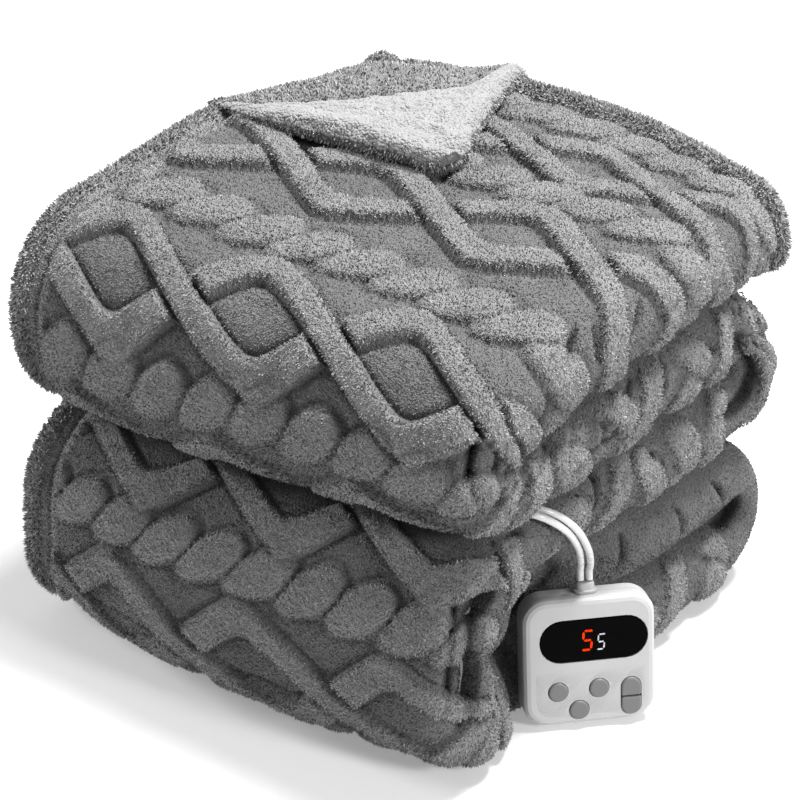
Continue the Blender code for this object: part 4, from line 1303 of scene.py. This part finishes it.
def add_rib(run, across, points, faces):
    """One three-sided rib from the first place of a run to its last."""
    if len(run) < 3:
        return
    start = len(points)
    for place in (run[0], run[-1]):
        for part, depth in ((-0.5, LINE_FOOT), (0.0, -LINE_HEIGHT), (0.5, LINE_FOOT)):
            a, b = place + across * LINE_WIDTH * part
            points.append((a, depth, b))
    sides = []
    for k, m in ring_pairs(3):
        sides += [(k, 3 + k, 3 + m), (k, 3 + m, m)]
    faces += [[start + k for k in face] for face in (*sides, (0, 1, 2), (3, 5, 4))]


def bar(p, q, width):
    """Outline of one lit bar with pointed ends."""
    p, q = np.array(p), np.array(q)
    way = (q - p) / np.linalg.norm(q - p)
    side = np.array((-way[1], way[0])) * width / 2
    tip = way * width / 2
    return [p, p + tip + side, q - tip + side, q, q - tip - side, p + tip - side]


def build_digits():
    """Lit digits on the window: two generic fives."""
    mats = {
        "digit_large": lit("lit_red", (1.0, 0.045, 0.002), 1.5),
        "digit_small": lit("lit_white", (0.9, 0.92, 1.0), 1.1),
    }
    for name, left, low, width, height, thick, lean in DIGITS:
        made = bmesh.new()
        for ends in SEGMENTS:
            corners = []
            for a, b in ends:
                up = b * height
                corners.append((left + a * width + lean * up, low + up))
            front, back = (
                [made.verts.new(CONTROL @ Vector((a, depth, b))) for a, b in bar(*corners, thick)]
                for depth in DIGIT_DEPTHS
            )
            made.faces.new(front)
            made.faces.new(back[::-1])
            for k, m in ring_pairs(6):
                made.faces.new((front[k], back[k], back[m], front[m]))
        mesh = bpy.data.meshes.new(name)
        bmesh_to(mesh, made)
        add_piece(name, mesh, "window", mats[name])


def dress_control():
    """Materials for the control's own nodes, and its ribs and digits."""
    buttons = [f"button_{place}" for place in ("left", "right", "low", "up", "down")]
    for names, mat in (
        (("control_front", "control_back"), MATS["shell"]),
        (("control_window",), glass()),
        (("gland",), MATS["gland"]),
        (buttons, MATS["button"]),
    ):
        for name in names:
            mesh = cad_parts[name].data
            mesh.materials.clear()
            mesh.materials.append(mat)
    face_lines()
    build_digits()


# ---- room
UP = Vector((0, 0, 1))
WHITE = (1.0, 1.0, 1.0, 1.0)
FLOOR_FRONT = -6.0
FLOOR_BACK = 2.4  # where the floor starts to turn up
FLOOR_ROUND = 1.2
FLOOR_HALF = 7.0  # half its width
WALL_TOP = 5.0
FLOOR_GLOW = 0.27
SKY_GLOW = 0.24
LIGHTS = (
    # name, place, size, power
    ("key", (0.36, 0.52, 2.18), 0.7, 116.0),
    ("right", (2.0, -0.2, 1.0), 0.5, 34.0),
    ("left", (-1.9, -0.8, 0.95), 0.6, 34.0),
)


def build_room():
    """A pale floor that runs up into a backdrop, three broad lights and an even sky."""
    profile = [(FLOOR_FRONT, 0.0)]
    for k in range(13):
        a = radians(-90 + 7.5 * k)
        profile.append((FLOOR_BACK + FLOOR_ROUND * cos(a), FLOOR_ROUND + FLOOR_ROUND * sin(a)))
    profile.append((FLOOR_BACK + FLOOR_ROUND, WALL_TOP))
    back = Vector((-sin(AZIMUTH), cos(AZIMUTH), 0))
    across = UP.cross(back) * -1
    sides = (-FLOOR_HALF, FLOOR_HALF)
    points = [back * y + across * side + UP * z for side in sides for y, z in profile]
    count = len(profile)
    faces = [(k, k + 1, count + k + 1, count + k) for k in range(count - 1)]
    mesh = mesh_of("floor", points, faces)
    nodes = Nodes("floor", 0.7, Emission_Color=WHITE, Emission_Strength=FLOOR_GLOW)
    nodes.into(Base_Color=nodes.mottle(3.0, 0.62, 0.64))
    add_object("floor", mesh, nodes.mat)
    for name, place, size, power in LIGHTS:
        light = bpy.data.lights.new(name, "AREA")
        light.shape = "DISK"
        light.size = size
        light.energy = power
        lamp = add_object(name, light)
        lamp.location = place
        lamp.rotation_euler = (Vector(place) - AIM).to_track_quat("Z", "Y").to_euler()
    world = bpy.data.worlds.new("studio")
    bpy.context.scene.world = world
    world.use_nodes = True
    sky = world.node_tree.nodes["Background"].inputs
    sky["Color"].default_value = WHITE
    sky["Strength"].default_value = SKY_GLOW


# ---- the whole scene
def ray_tree(cloth, flap):
    """The throw and its turned corner, for rays that find out where the cloth shows."""
    points = [tuple(p) for p in cloth.points]
    first = len(points)
    points += [tuple(vertex.co) for vertex in flap.data.vertices]
    faces = cloth.faces.tolist()
    faces += [[first + k for k in face.vertices] for face in flap.data.polygons]
    return BVHTree.FromPolygons(points, faces)


def build_throw(leads):
    """The throw with its turned corner and its pile, each riding on the root body."""
    cloth = Cloth()
    mesh = mesh_of("throw", cloth.points, cloth.faces, cloth.tone)
    throw = add_piece("throw", mesh, "plush", MATS["plush"])
    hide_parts("blanket")
    flap, *grids = build_flap()
    pieces = [flap, sherpa_curls(*grids), flap_edge_pile(*grids)]
    pieces += add_pile(pile(cloth, ray_tree(cloth, flap), leads))


bpy.context.scene.view_settings.view_transform = "Standard"
build_camera()
build_throw(build_leads())
dress_control()
build_room()
